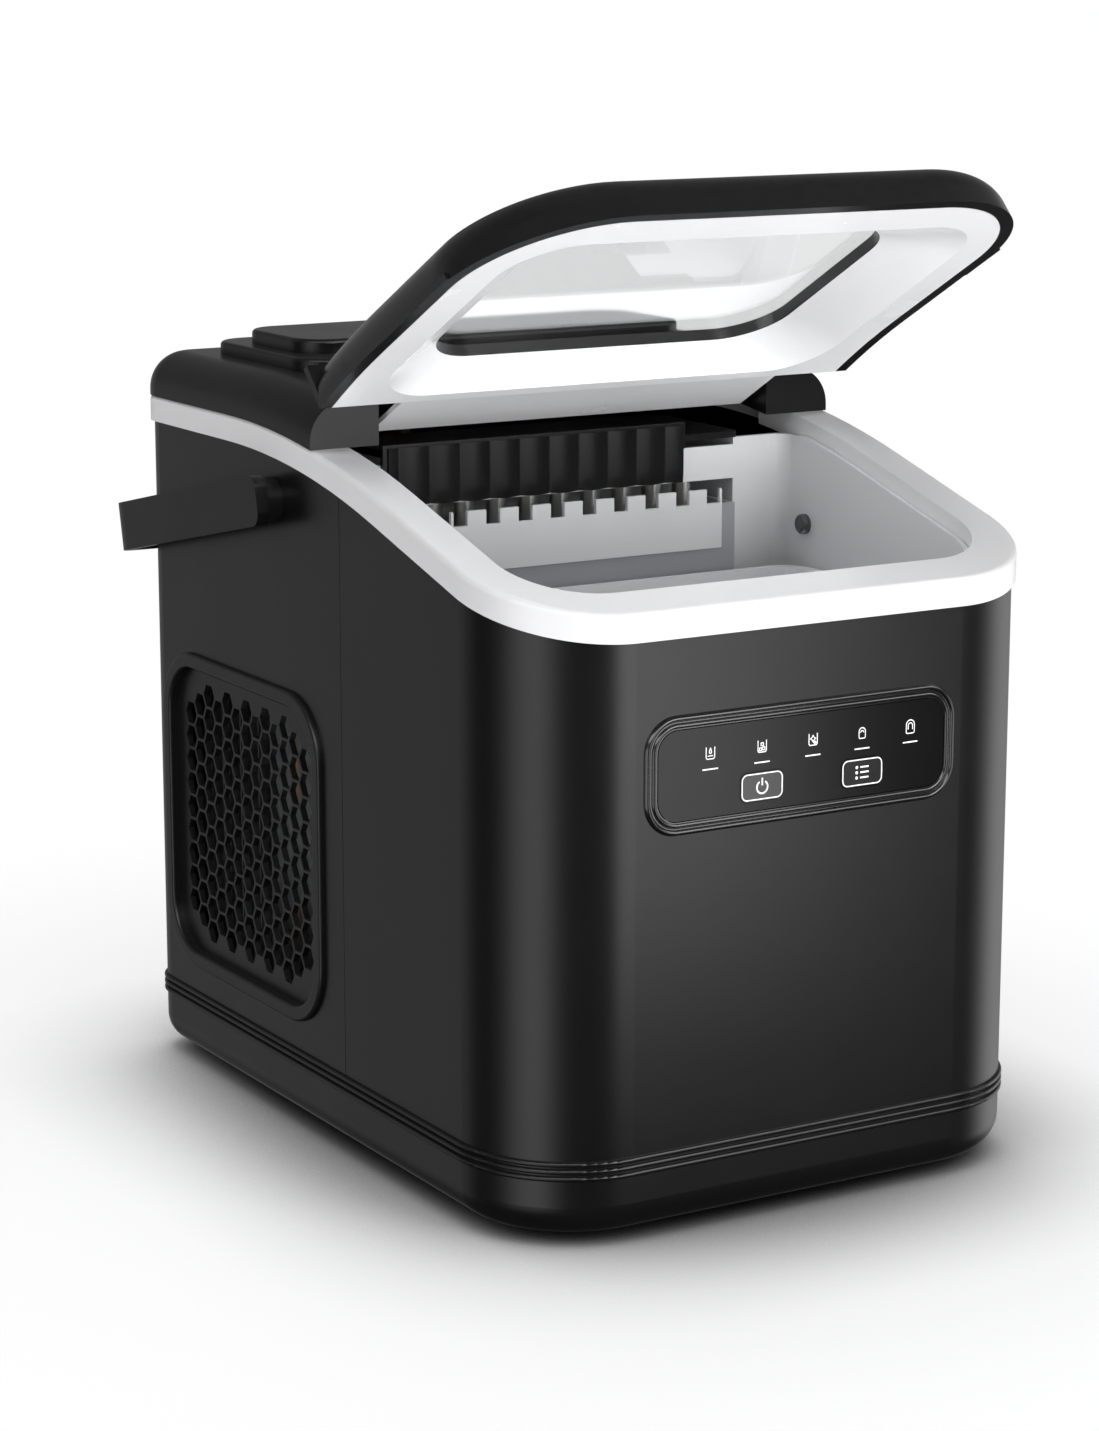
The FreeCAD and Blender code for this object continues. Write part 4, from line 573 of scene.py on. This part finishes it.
def piece(name, grids, body, with_finish, replaced=(), sharp=35):
    """A mesh of closed tubes, each a (grid of points, whether it is a ring), on a CAD body."""
    points, faces, start = [], [], 0
    for grid, ring in grids:
        rows, columns = grid.shape[:2]
        points.append(grid.reshape(-1, 3))
        faces += (quads(rows, columns, ring) + start).tolist()
        if not ring:
            end = start + (rows - 1) * columns
            faces += [list(range(start, start + columns))[::-1], list(range(end, end + columns))]
        start += rows * columns
    mesh = bpy.data.meshes.new(name)
    mesh.from_pydata(np.concatenate(points).tolist(), [], faces)
    surface = bmesh.new()
    surface.from_mesh(mesh)
    bmesh.ops.remove_doubles(surface, verts=surface.verts, dist=1e-7)
    bmesh.ops.recalc_face_normals(surface, faces=surface.faces)
    surface.to_mesh(mesh)
    surface.free()
    mesh.polygons.foreach_set("use_smooth", np.ones(len(mesh.polygons), bool))
    mesh.set_sharp_from_angle(angle=np.radians(sharp))
    mesh.materials.append(with_finish)
    made = bpy.data.objects.new(name, mesh)
    scene.collection.objects.link(made)
    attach(made, body)
    if replaced:
        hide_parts(*replaced)
    print(name, len(mesh.polygons), "faces on", body)
    return made


# %% [markdown]
# ## The printed symbols
# The panel has five status symbols and two touch keys with white outlines.  On the real machine
# they are printed in ink, a few hundredths of a millimetre thick.  A texture could show them, but
# it blurs close by.  Each stroke here is a line drawn in the panel's plane, given a width and a
# very slightly raised, rounded back, so its edge stays sharp.  The symbols are plain pictures: a
# cup with a drop, with cubes and with a sparkle, and two sizes of ice.

# %% Ink strokes
INK_HEIGHT = 0.00005
# The ink glows faintly though it is no lamp: painted light that keeps the print bright.
PAINTED_INK_GLOW = 0.12
INK_ROUND = 8
ink = plastic("print_white_painted_glow", (0.86, 0.86, 0.86), 0.45, Drift=0.02, Dust=0.0)
ink_shader = ink.node_tree.nodes["Principled BSDF"]
ink_shader.inputs["Emission Color"].default_value = (1, 1, 1, 1)
ink_shader.inputs["Emission Strength"].default_value = PAINTED_INK_GLOW


def stroke(line, width, centre, front, ring=False):
    """Ink along a line of (x, z) in millimetres: P = line + across * width / 2 * cos(a), and
    raised from the panel's front by INK_HEIGHT * sin(a), for a once round the section."""
    line = np.asarray(line, float)
    if ring:
        ahead = np.roll(line, -1, 0) - np.roll(line, 1, 0)
    else:
        ahead = np.gradient(line, axis=0)
    ahead /= np.linalg.norm(ahead, axis=1)[:, None]
    across = np.stack([-ahead[:, 1], ahead[:, 0]], 1)
    angle = np.linspace(0, 2 * np.pi, INK_ROUND, endpoint=False)
    flat = line[:, None] + across[:, None] * (width / 2 * np.cos(angle))[None, :, None]
    grid = np.empty((len(line), INK_ROUND, 3))
    grid[..., 0] = (centre[0] + flat[..., 0]) * MM
    grid[..., 1] = front - INK_HEIGHT * np.sin(angle)[None]
    grid[..., 2] = (centre[1] + flat[..., 1]) * MM
    return grid, ring


def polyline(*corners, steps=5):
    """Straight runs between corners, each cut into equal steps."""
    corners = np.array(corners, float)
    share = np.linspace(0, 1, steps, endpoint=False)[None, :, None]
    runs = corners[:-1, None] + (corners[1:] - corners[:-1])[:, None] * share
    return np.concatenate([runs.reshape(-1, 2), corners[-1:]])


def arc(radius, start, stop, middle=(0, 0), steps=28):
    """Part of a circle, from one angle to another in degrees, anticlockwise from +x."""
    angle = np.radians(np.linspace(start, stop, steps))
    return np.stack([middle[0] + radius * np.cos(angle), middle[1] + radius * np.sin(angle)], 1)


def rounded_box(half_width, half_height, corner, steps=8):
    """A closed outline: four quarter circles of the corner's radius, joined by straight sides."""
    x, z = half_width - corner, half_height - corner
    return np.concatenate([arc(corner, a, a + 90, m, steps) for a, m in
                           ((0, (x, z)), (90, (-x, z)), (180, (-x, -z)), (270, (x, -z)))])


def drop(size, middle):
    """A water drop: x = 0.8 * size * sin(t) * |sin(t / 2)| ** 1.5, z = 1.3 * size * cos(t)."""
    t = np.linspace(0, 2 * np.pi, 24, endpoint=False)
    return np.stack([middle[0] + 0.8 * size * np.sin(t) * np.abs(np.sin(t / 2)) ** 1.5,
                     middle[1] + 1.3 * size * np.cos(t)], 1)


def sparkle(size, middle):
    """A four-pointed star, an astroid: x = size * cos(t) ** 3, z = size * sin(t) ** 3."""
    t = np.linspace(0, 2 * np.pi, 32, endpoint=False)
    return np.stack([middle[0] + size * np.cos(t) ** 3, middle[1] + size * np.sin(t) ** 3], 1)


def bullet(width, height):
    """The outline of a thimble of ice: a flat foot with small corners under a round top."""
    half, foot = width / 2, 0.5
    top = arc(half, 0, 180, (0, height / 2 - half))
    left = arc(foot, 180, 270, (-half + foot, -height / 2 + foot), 6)
    right = arc(foot, 270, 360, (half - foot, -height / 2 + foot), 6)
    return np.concatenate([top, left, right])


print("ink", ink.name, INK_HEIGHT / MM, "mm thick")

# %% [markdown]
# Five status symbols stand in a row above the keys, each over a short bar.  They stand for the
# water's level, a full bin, cleaning, small ice and large ice.

# %% Status symbols
THIN, BAR_THICK, BAR_HALF, BAR_DROP = 0.36, 0.5, 3.2, -5.6
SYMBOL_RISE = 6.6
panel_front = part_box("control_fascia")[0].y
symbol_z = box_middle("control_fascia")[2] + SYMBOL_RISE
cup = polyline((-1.75, 2.2), (-1.75, -1.5), (-1.3, -2.0), (1.3, -2.0), (1.75, -1.5), (1.75, 2.2))
# Where each symbol stands along X, and the lines it is drawn with.
pictures = {
    -39.1: [(cup, False), (drop(0.75, (0, 0.9)), True), (polyline((-1.1, -0.9), (1.1, -0.9)), False)],
    -17.7: [(cup, False), (rounded_box(0.5, 0.5, 0.12, 3) + (-0.65, -0.95), True),
            (rounded_box(0.5, 0.5, 0.12, 3) + (0.65, -0.75), True),
            (rounded_box(0.5, 0.5, 0.12, 3) + (0.0, 0.75), True)],
    3.7: [(cup, False), (sparkle(1.25, (0, 0.35)), True), (sparkle(0.6, (0.8, -1.1)), True)],
    24.7: [(bullet(2.7, 3.8), True), (arc(0.65, 0, 180, (0, 0.2)), False)],
    45.6: [(bullet(3.5, 4.8), True), (arc(0.95, 0, 180, (0, 0.4)), False),
           (polyline((-0.95, 0.4), (-0.95, -1.0)), False),
           (polyline((0.95, 0.4), (0.95, -1.0)), False)],
}
strokes = [stroke(line, THIN, (x, symbol_z), panel_front, ring)
           for x, lines in pictures.items() for line, ring in lines]
bar = polyline((-BAR_HALF, BAR_DROP), (BAR_HALF, BAR_DROP))
strokes += [stroke(bar, BAR_THICK, (x, symbol_z), panel_front) for x in pictures]
piece("status_symbols", strokes, "cabinet", ink)

# %% [markdown]
# Each key has an outlined box.  One holds an open ring with an upright, for power; the other
# holds a list of three rows, for choosing.  They ride on the keys and move when one is pressed.

# %% Key symbols
OUTLINE, BOLD, OUTLINE_INSET, OUTLINE_CORNER = 0.45, 0.6, 0.55, 2.1
ROWS = (1.9, 0, -1.9)
power_lines = [(arc(2.25, 122, 418, (0, -0.3)), False), (polyline((0, 3.0), (0, 0.3)), False)]
select_lines = [(polyline((-0.9, z), (2.7, z)), False) for z in ROWS]
select_lines += [(arc(0.3, 0, 360, (-2.4, z), 10)[:-1], True) for z in ROWS]
for key, lines in (("power", power_lines), ("select", select_lines)):
    key_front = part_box(key + "_button")[0].y
    low, high = box_edges(key + "_button")
    half_wide, _, half_tall = (high - low) / 2 - OUTLINE_INSET
    centre = ((low + high) / 2)[[0, 2]]
    marks = [stroke(line, BOLD, centre, key_front, ring) for line, ring in lines]
    outline = rounded_box(half_wide, half_tall, OUTLINE_CORNER)
    marks.append(stroke(outline, OUTLINE, centre, key_front, True))
    piece(key + "_symbol", marks, key + "_key", ink)

# %% [markdown]
# ## The frame round the panel
# The frame has two soft ridges with a groove between them, which catch thin lines of light.  Its
# section is drawn across its width and carried round a rounded rectangle.  A curve with a bevel
# would carry it too, but it would keep the section square to the path; here the rectangle itself
# shrinks as the section goes inwards, so each ridge has corners of its own radius.

# %% Panel frame
FRAME_CORNER, FRAME_BAND, RIDGE_HEIGHT, GROOVE_FLOOR, STEP_UP = 13.0, 5.0, 1.45, 0.55, 0.4
body_front = box_edges("front_wrap")[0][1]
frame_low, frame_high = box_edges("control_bezel")
frame_half = (frame_high - frame_low) / 2


def frame_section():
    """Depth in from the outer edge and y.  The front is one hump over each half of the band:
    lift = RIDGE_HEIGHT * |sin(2 pi * depth / FRAME_BAND)| ** 0.8, or the floor between them if
    that is higher.  The back steps in behind the body's front wall."""
    depth = np.linspace(0, FRAME_BAND, 41)
    hump = np.abs(np.sin(2 * np.pi * depth / FRAME_BAND)) ** 0.8
    between = (depth > FRAME_BAND / 4) & (depth < FRAME_BAND)
    floor_under = GROOVE_FLOOR * between + STEP_UP * (depth > FRAME_BAND * 3 / 4)
    lift = np.maximum(RIDGE_HEIGHT * hump, floor_under)
    front = np.stack([depth, body_front - lift], 1)
    back = np.array([(5, 1.3), (7, 1.35), (7, 3.0), (3.3, 3.0), (3.3, 0.1), (0, 0.05)])
    return np.concatenate([front, back + (0, body_front)])


section = frame_section()
outlines = np.stack([rounded_box(frame_half[0] - d, frame_half[2] - d, FRAME_CORNER - d, 16)
                     for d in section[:, 0]], 1)
grid = np.stack([outlines[..., 0], section[:, 1] + 0 * outlines[..., 0],
                 box_middle("control_bezel")[2] + outlines[..., 1]], -1) * MM
piece("panel_frame", [(grid, True)], "cabinet", finish["bezel"], ["control_bezel"])

# %% [markdown]
# ## The handle's grip
# The bar between the handle's arms is thicker than they are, with rounded edges and shallow
# grooves for the fingers.  A box with a subdivision surface would round it, but would soften the
# grooves unevenly.  So it is a section carried along X: a squared-off oval whose thickness grows
# from the arm's to the full grip near each end, and dips at each groove.

# %% Grip
TILT = np.radians(-12.3)
GRIP_HEIGHT, GRIP_INNER, SWELL_LENGTH = 19.0, 126.5, 9.0
ARM_THICK, GRIP_THICK = 5.0, 11.9
GROOVE_PITCH, GROOVE_DEPTH, GROOVE_WIDTH, GROOVED_HALF = 6.0, 0.8, 1.1, 44.0
OVAL = 4.2


def squared(wave):
    """A sine or cosine pushed towards +1 and -1: sign(w) * |w| ** (2 / OVAL)."""
    return np.sign(wave) * np.abs(wave) ** (2 / OVAL)


def grip_surface():
    """Across X: thick eases from ARM_THICK to GRIP_THICK over SWELL_LENGTH at each end, and
    groove = GROOVE_DEPTH * exp(-(distance to the nearest groove / GROOVE_WIDTH) ** 2).
    Round the section: out = GRIP_INNER + thick / 2 * (1 + squared(cos(a))), less the groove
    on the outer side, and up = GRIP_HEIGHT / 2 * squared(sin(a)).  Both turn by TILT about the
    pivot."""
    pivot = box_middle("handle_pivots")
    half = box_edges("handle_grip")[1][0]
    x = np.linspace(-half, half, 241)[:, None]
    swell = np.clip((half - np.abs(x)) / SWELL_LENGTH, 0, 1)
    thick = ARM_THICK + (GRIP_THICK - ARM_THICK) * swell ** 2 * (3 - 2 * swell)
    from_groove = (x + GROOVE_PITCH / 2) % GROOVE_PITCH - GROOVE_PITCH / 2
    groove = GROOVE_DEPTH * np.exp(-(from_groove / GROOVE_WIDTH) ** 2) * (np.abs(x) < GROOVED_HALF)
    angle = np.linspace(0, 2 * np.pi, 48, endpoint=False)
    outward = squared(np.cos(angle))
    out = GRIP_INNER + thick / 2 * (1 + outward) - groove * np.clip(outward, 0, 1)
    up = GRIP_HEIGHT / 2 * squared(np.sin(angle))[None] + 0 * out
    return np.stack([x + 0 * out, pivot[1] + out * np.cos(TILT) - up * np.sin(TILT),
                     pivot[2] + out * np.sin(TILT) + up * np.cos(TILT)], -1) * MM


finish["grip"] = plastic("grip_black", (0.0065, 0.0065, 0.0070), 0.45, COARSE, Handling=0.1)
piece("grip", [(grip_surface(), False)], "handle", finish["grip"], ["handle_grip"])

# %% [markdown]
# ## The dark sheet over the freezing chamber
# A black fluted sheet hangs at the back of the bin, over the lintel of the freezing chamber.  It is
# painted shade: a dark sheet that stands for the shade in the chamber's mouth.  Its front is a row
# of soft flutes, so what lies in front reflects in it as upright streaks.  A row of separate bars
# would leave a seam between each two; a wave along X makes them one surface.

# %% Shade sheet
# Where the painted shade sheet stands, in millimetres.
SHADE_SHEET = {"left": -82.0, "right": 47.0, "low": 240.4, "high": 262.5, "front": -0.65, "back": 2.4}
FLUTE_PITCH, FLUTE_DEPTH, HEM_RISE = 12.9, 0.6, 0.4
FLUTE_START, FLUTE_GROWTH = 0.3, 4.0


def shade_sheet_surface():
    """Once round the section at each x, with wave = |sin(pi * x / FLUTE_PITCH)| and u the share
    of the height: the front is at front - FLUTE_DEPTH * wave * (FLUTE_START + FLUTE_GROWTH * u,
    at most 1), the hem rises by HEM_RISE * (1 - wave), and the back is flat."""
    x = np.linspace(SHADE_SHEET["left"], SHADE_SHEET["right"], 260)[:, None]
    wave = np.abs(np.sin(np.pi * x / FLUTE_PITCH))
    share = np.linspace(0, 1, 12)[None]
    low = SHADE_SHEET["low"] + HEM_RISE * (1 - wave)
    front_z = low + (SHADE_SHEET["high"] - low) * share
    front_y = SHADE_SHEET["front"] - FLUTE_DEPTH * wave * np.minimum(1, FLUTE_GROWTH * share + FLUTE_START)
    y = np.hstack([front_y, SHADE_SHEET["back"] + 0 * front_y])
    z = np.hstack([front_z, front_z[:, ::-1]])
    return np.stack([x + 0 * y, y, z], -1) * MM


# Painted shade: a near-black sheet where the chamber's mouth lies in shade.
piece("chamber_shade_sheet", [(shade_sheet_surface(), False)], "cabinet", finish["chamber"])

# %% [markdown]
# ## The fan
# A cooling fan's blades are thin, curved and twisted: steep at the hub, where they move slowly,
# and flatter at the tip.  A flat blade could be twisted with a modifier, but would stay flat
# across.  Here each blade is a row of small wing sections, and each section is turned by the
# pitch that suits its radius.  The hub is a turned profile with a bore for the motor's shaft.

# %% Rotor
HUB, TIP, BLADES = 14.0, 33.4, 7
ROOT_PITCH, TWIST, SWEEP = 55, 27, 0.25
HALF_CHORD, BELLY, HALF_THICK, CAMBER = 6.6, 2.0, 0.75, 1.2
# From one end of the bore, over the hub's rounded edge, to the bore's other end: (x, radius).
HUB_PROFILE = ((-7.3, 1.6), (-7.3, 11.5), (-6.9, 13.2), (-5.8, 14.4), (-4, 14.9), (6.6, 14.9),
               (7.2, 14.5), (7.2, 1.6))
axis = np.array((box_middle("fan_rotor")[0], *box_middle("fan_motor")[1:]))


def blade(number):
    """Wing sections at radius r, a share u of the way from hub to tip, turned by
    pitch = ROOT_PITCH - TWIST * u degrees:
    P = r * radial + (c cos(pitch) - t sin(pitch)) * tangent + (c sin(pitch) + t cos(pitch)) * x,
    with c = (HALF_CHORD + BELLY * sin(0.8 pi u)) * cos(a)
    and t = HALF_THICK * sin(a) + CAMBER * (1 - cos(a) ** 2)."""
    share = np.linspace(0, 1, 14)[:, None]
    a = np.linspace(0, 2 * np.pi, 20, endpoint=False)[None]
    radius = HUB - 1 + (TIP - HUB + 1) * share
    pitch = np.radians(ROOT_PITCH - TWIST * share)
    half = HALF_CHORD + BELLY * np.sin(np.pi * share * 0.8)
    c, t = half * np.cos(a), HALF_THICK * np.sin(a) + CAMBER * (1 - np.cos(a) ** 2)
    turn = 2 * np.pi * number / BLADES + SWEEP * share
    around = c * np.cos(pitch) - t * np.sin(pitch)
    along = c * np.sin(pitch) + t * np.cos(pitch)
    return np.stack([axis[0] + along + 0 * radius,
                     axis[1] + radius * np.cos(turn) - around * np.sin(turn),
                     axis[2] + radius * np.sin(turn) + around * np.cos(turn)], -1) * MM


def turned(profile, centre, steps=48):
    """A solid of revolution about X: each (x, radius) of the profile becomes a ring."""
    a = np.linspace(0, 2 * np.pi, steps, endpoint=False)[None]
    along, radius = np.array(profile, float).T[..., None]
    return np.stack([centre[0] + along + 0 * a, centre[1] + radius * np.cos(a),
                     centre[2] + radius * np.sin(a)], -1) * MM


blades = [(blade(number), False) for number in range(BLADES)]
piece("rotor", [(turned(HUB_PROFILE, axis), True)] + blades, "rotor",
      finish["rotor"], ["fan_rotor"])

# %% [markdown]
# ## The screws
# Four cross-head screws hold the back.  Each is a turned profile with a cross pressed into its
# head.  A Boolean could cut the cross, but it leaves long thin faces; pushing in the points that
# lie inside the cross keeps one closed surface.

# %% Screws
# From the crown over the domed edge, under the head and down the shank to its tip: (radius, lift).
SCREW_PROFILE = np.array([(0.02, 1.35), (0.4, 1.35), (0.7, 1.34), (1.0, 1.33), (1.3, 1.31),
                          (1.6, 1.29), (1.9, 1.26), (2.2, 1.20), (2.5, 1.12), (2.8, 1.0),
                          (3.1, 0.83), (3.35, 0.6), (3.5, 0.3), (3.5, 0.02), (1.95, 0.02),
                          (1.95, -7.5), (0.02, -7.9)])
SLOT_HALF, SLOT_LONG, SLOT_DEEP, CROWN = 0.42, 1.9, 0.75, 1.0
# Where each screw sits, (x, z), and how far it is turned, in radians.
SCREWS = ((-98.5, 46, 0.3), (98.5, 46, 1.0), (-98.5, 241.6, 0.7), (98.5, 241.6, 0.1))
back_face = box_edges("rear_housing")[1][1]


def screw(x, z, turn):
    """The profile turned about Y, less SLOT_DEEP wherever a point of the crown lies inside
    either of two crossed slots."""
    a = np.linspace(0, 2 * np.pi, 64, endpoint=False)[None]
    radius, lift = SCREW_PROFILE[:, :1], SCREW_PROFILE[:, 1:]
    u, v = radius * np.cos(a), radius * np.sin(a)
    narrow, wide = np.minimum(np.abs(u), np.abs(v)), np.maximum(np.abs(u), np.abs(v))
    inside = (narrow < SLOT_HALF) * (wide < SLOT_LONG) * (lift > CROWN)
    y = back_face + lift - SLOT_DEEP * inside
    return np.stack([x + u * np.cos(turn) - v * np.sin(turn), y + 0 * u,
                     z + u * np.sin(turn) + v * np.cos(turn)], -1) * MM


finish["screw"] = worked("screw_black", (0.10, 0.10, 0.105), 0.35, tarnish=0.3)
screws = [(screw(x, z, turn), False) for x, z, turn in SCREWS]
piece("back_screws", screws, "cabinet", finish["screw"], ["housing_screws"], 25)
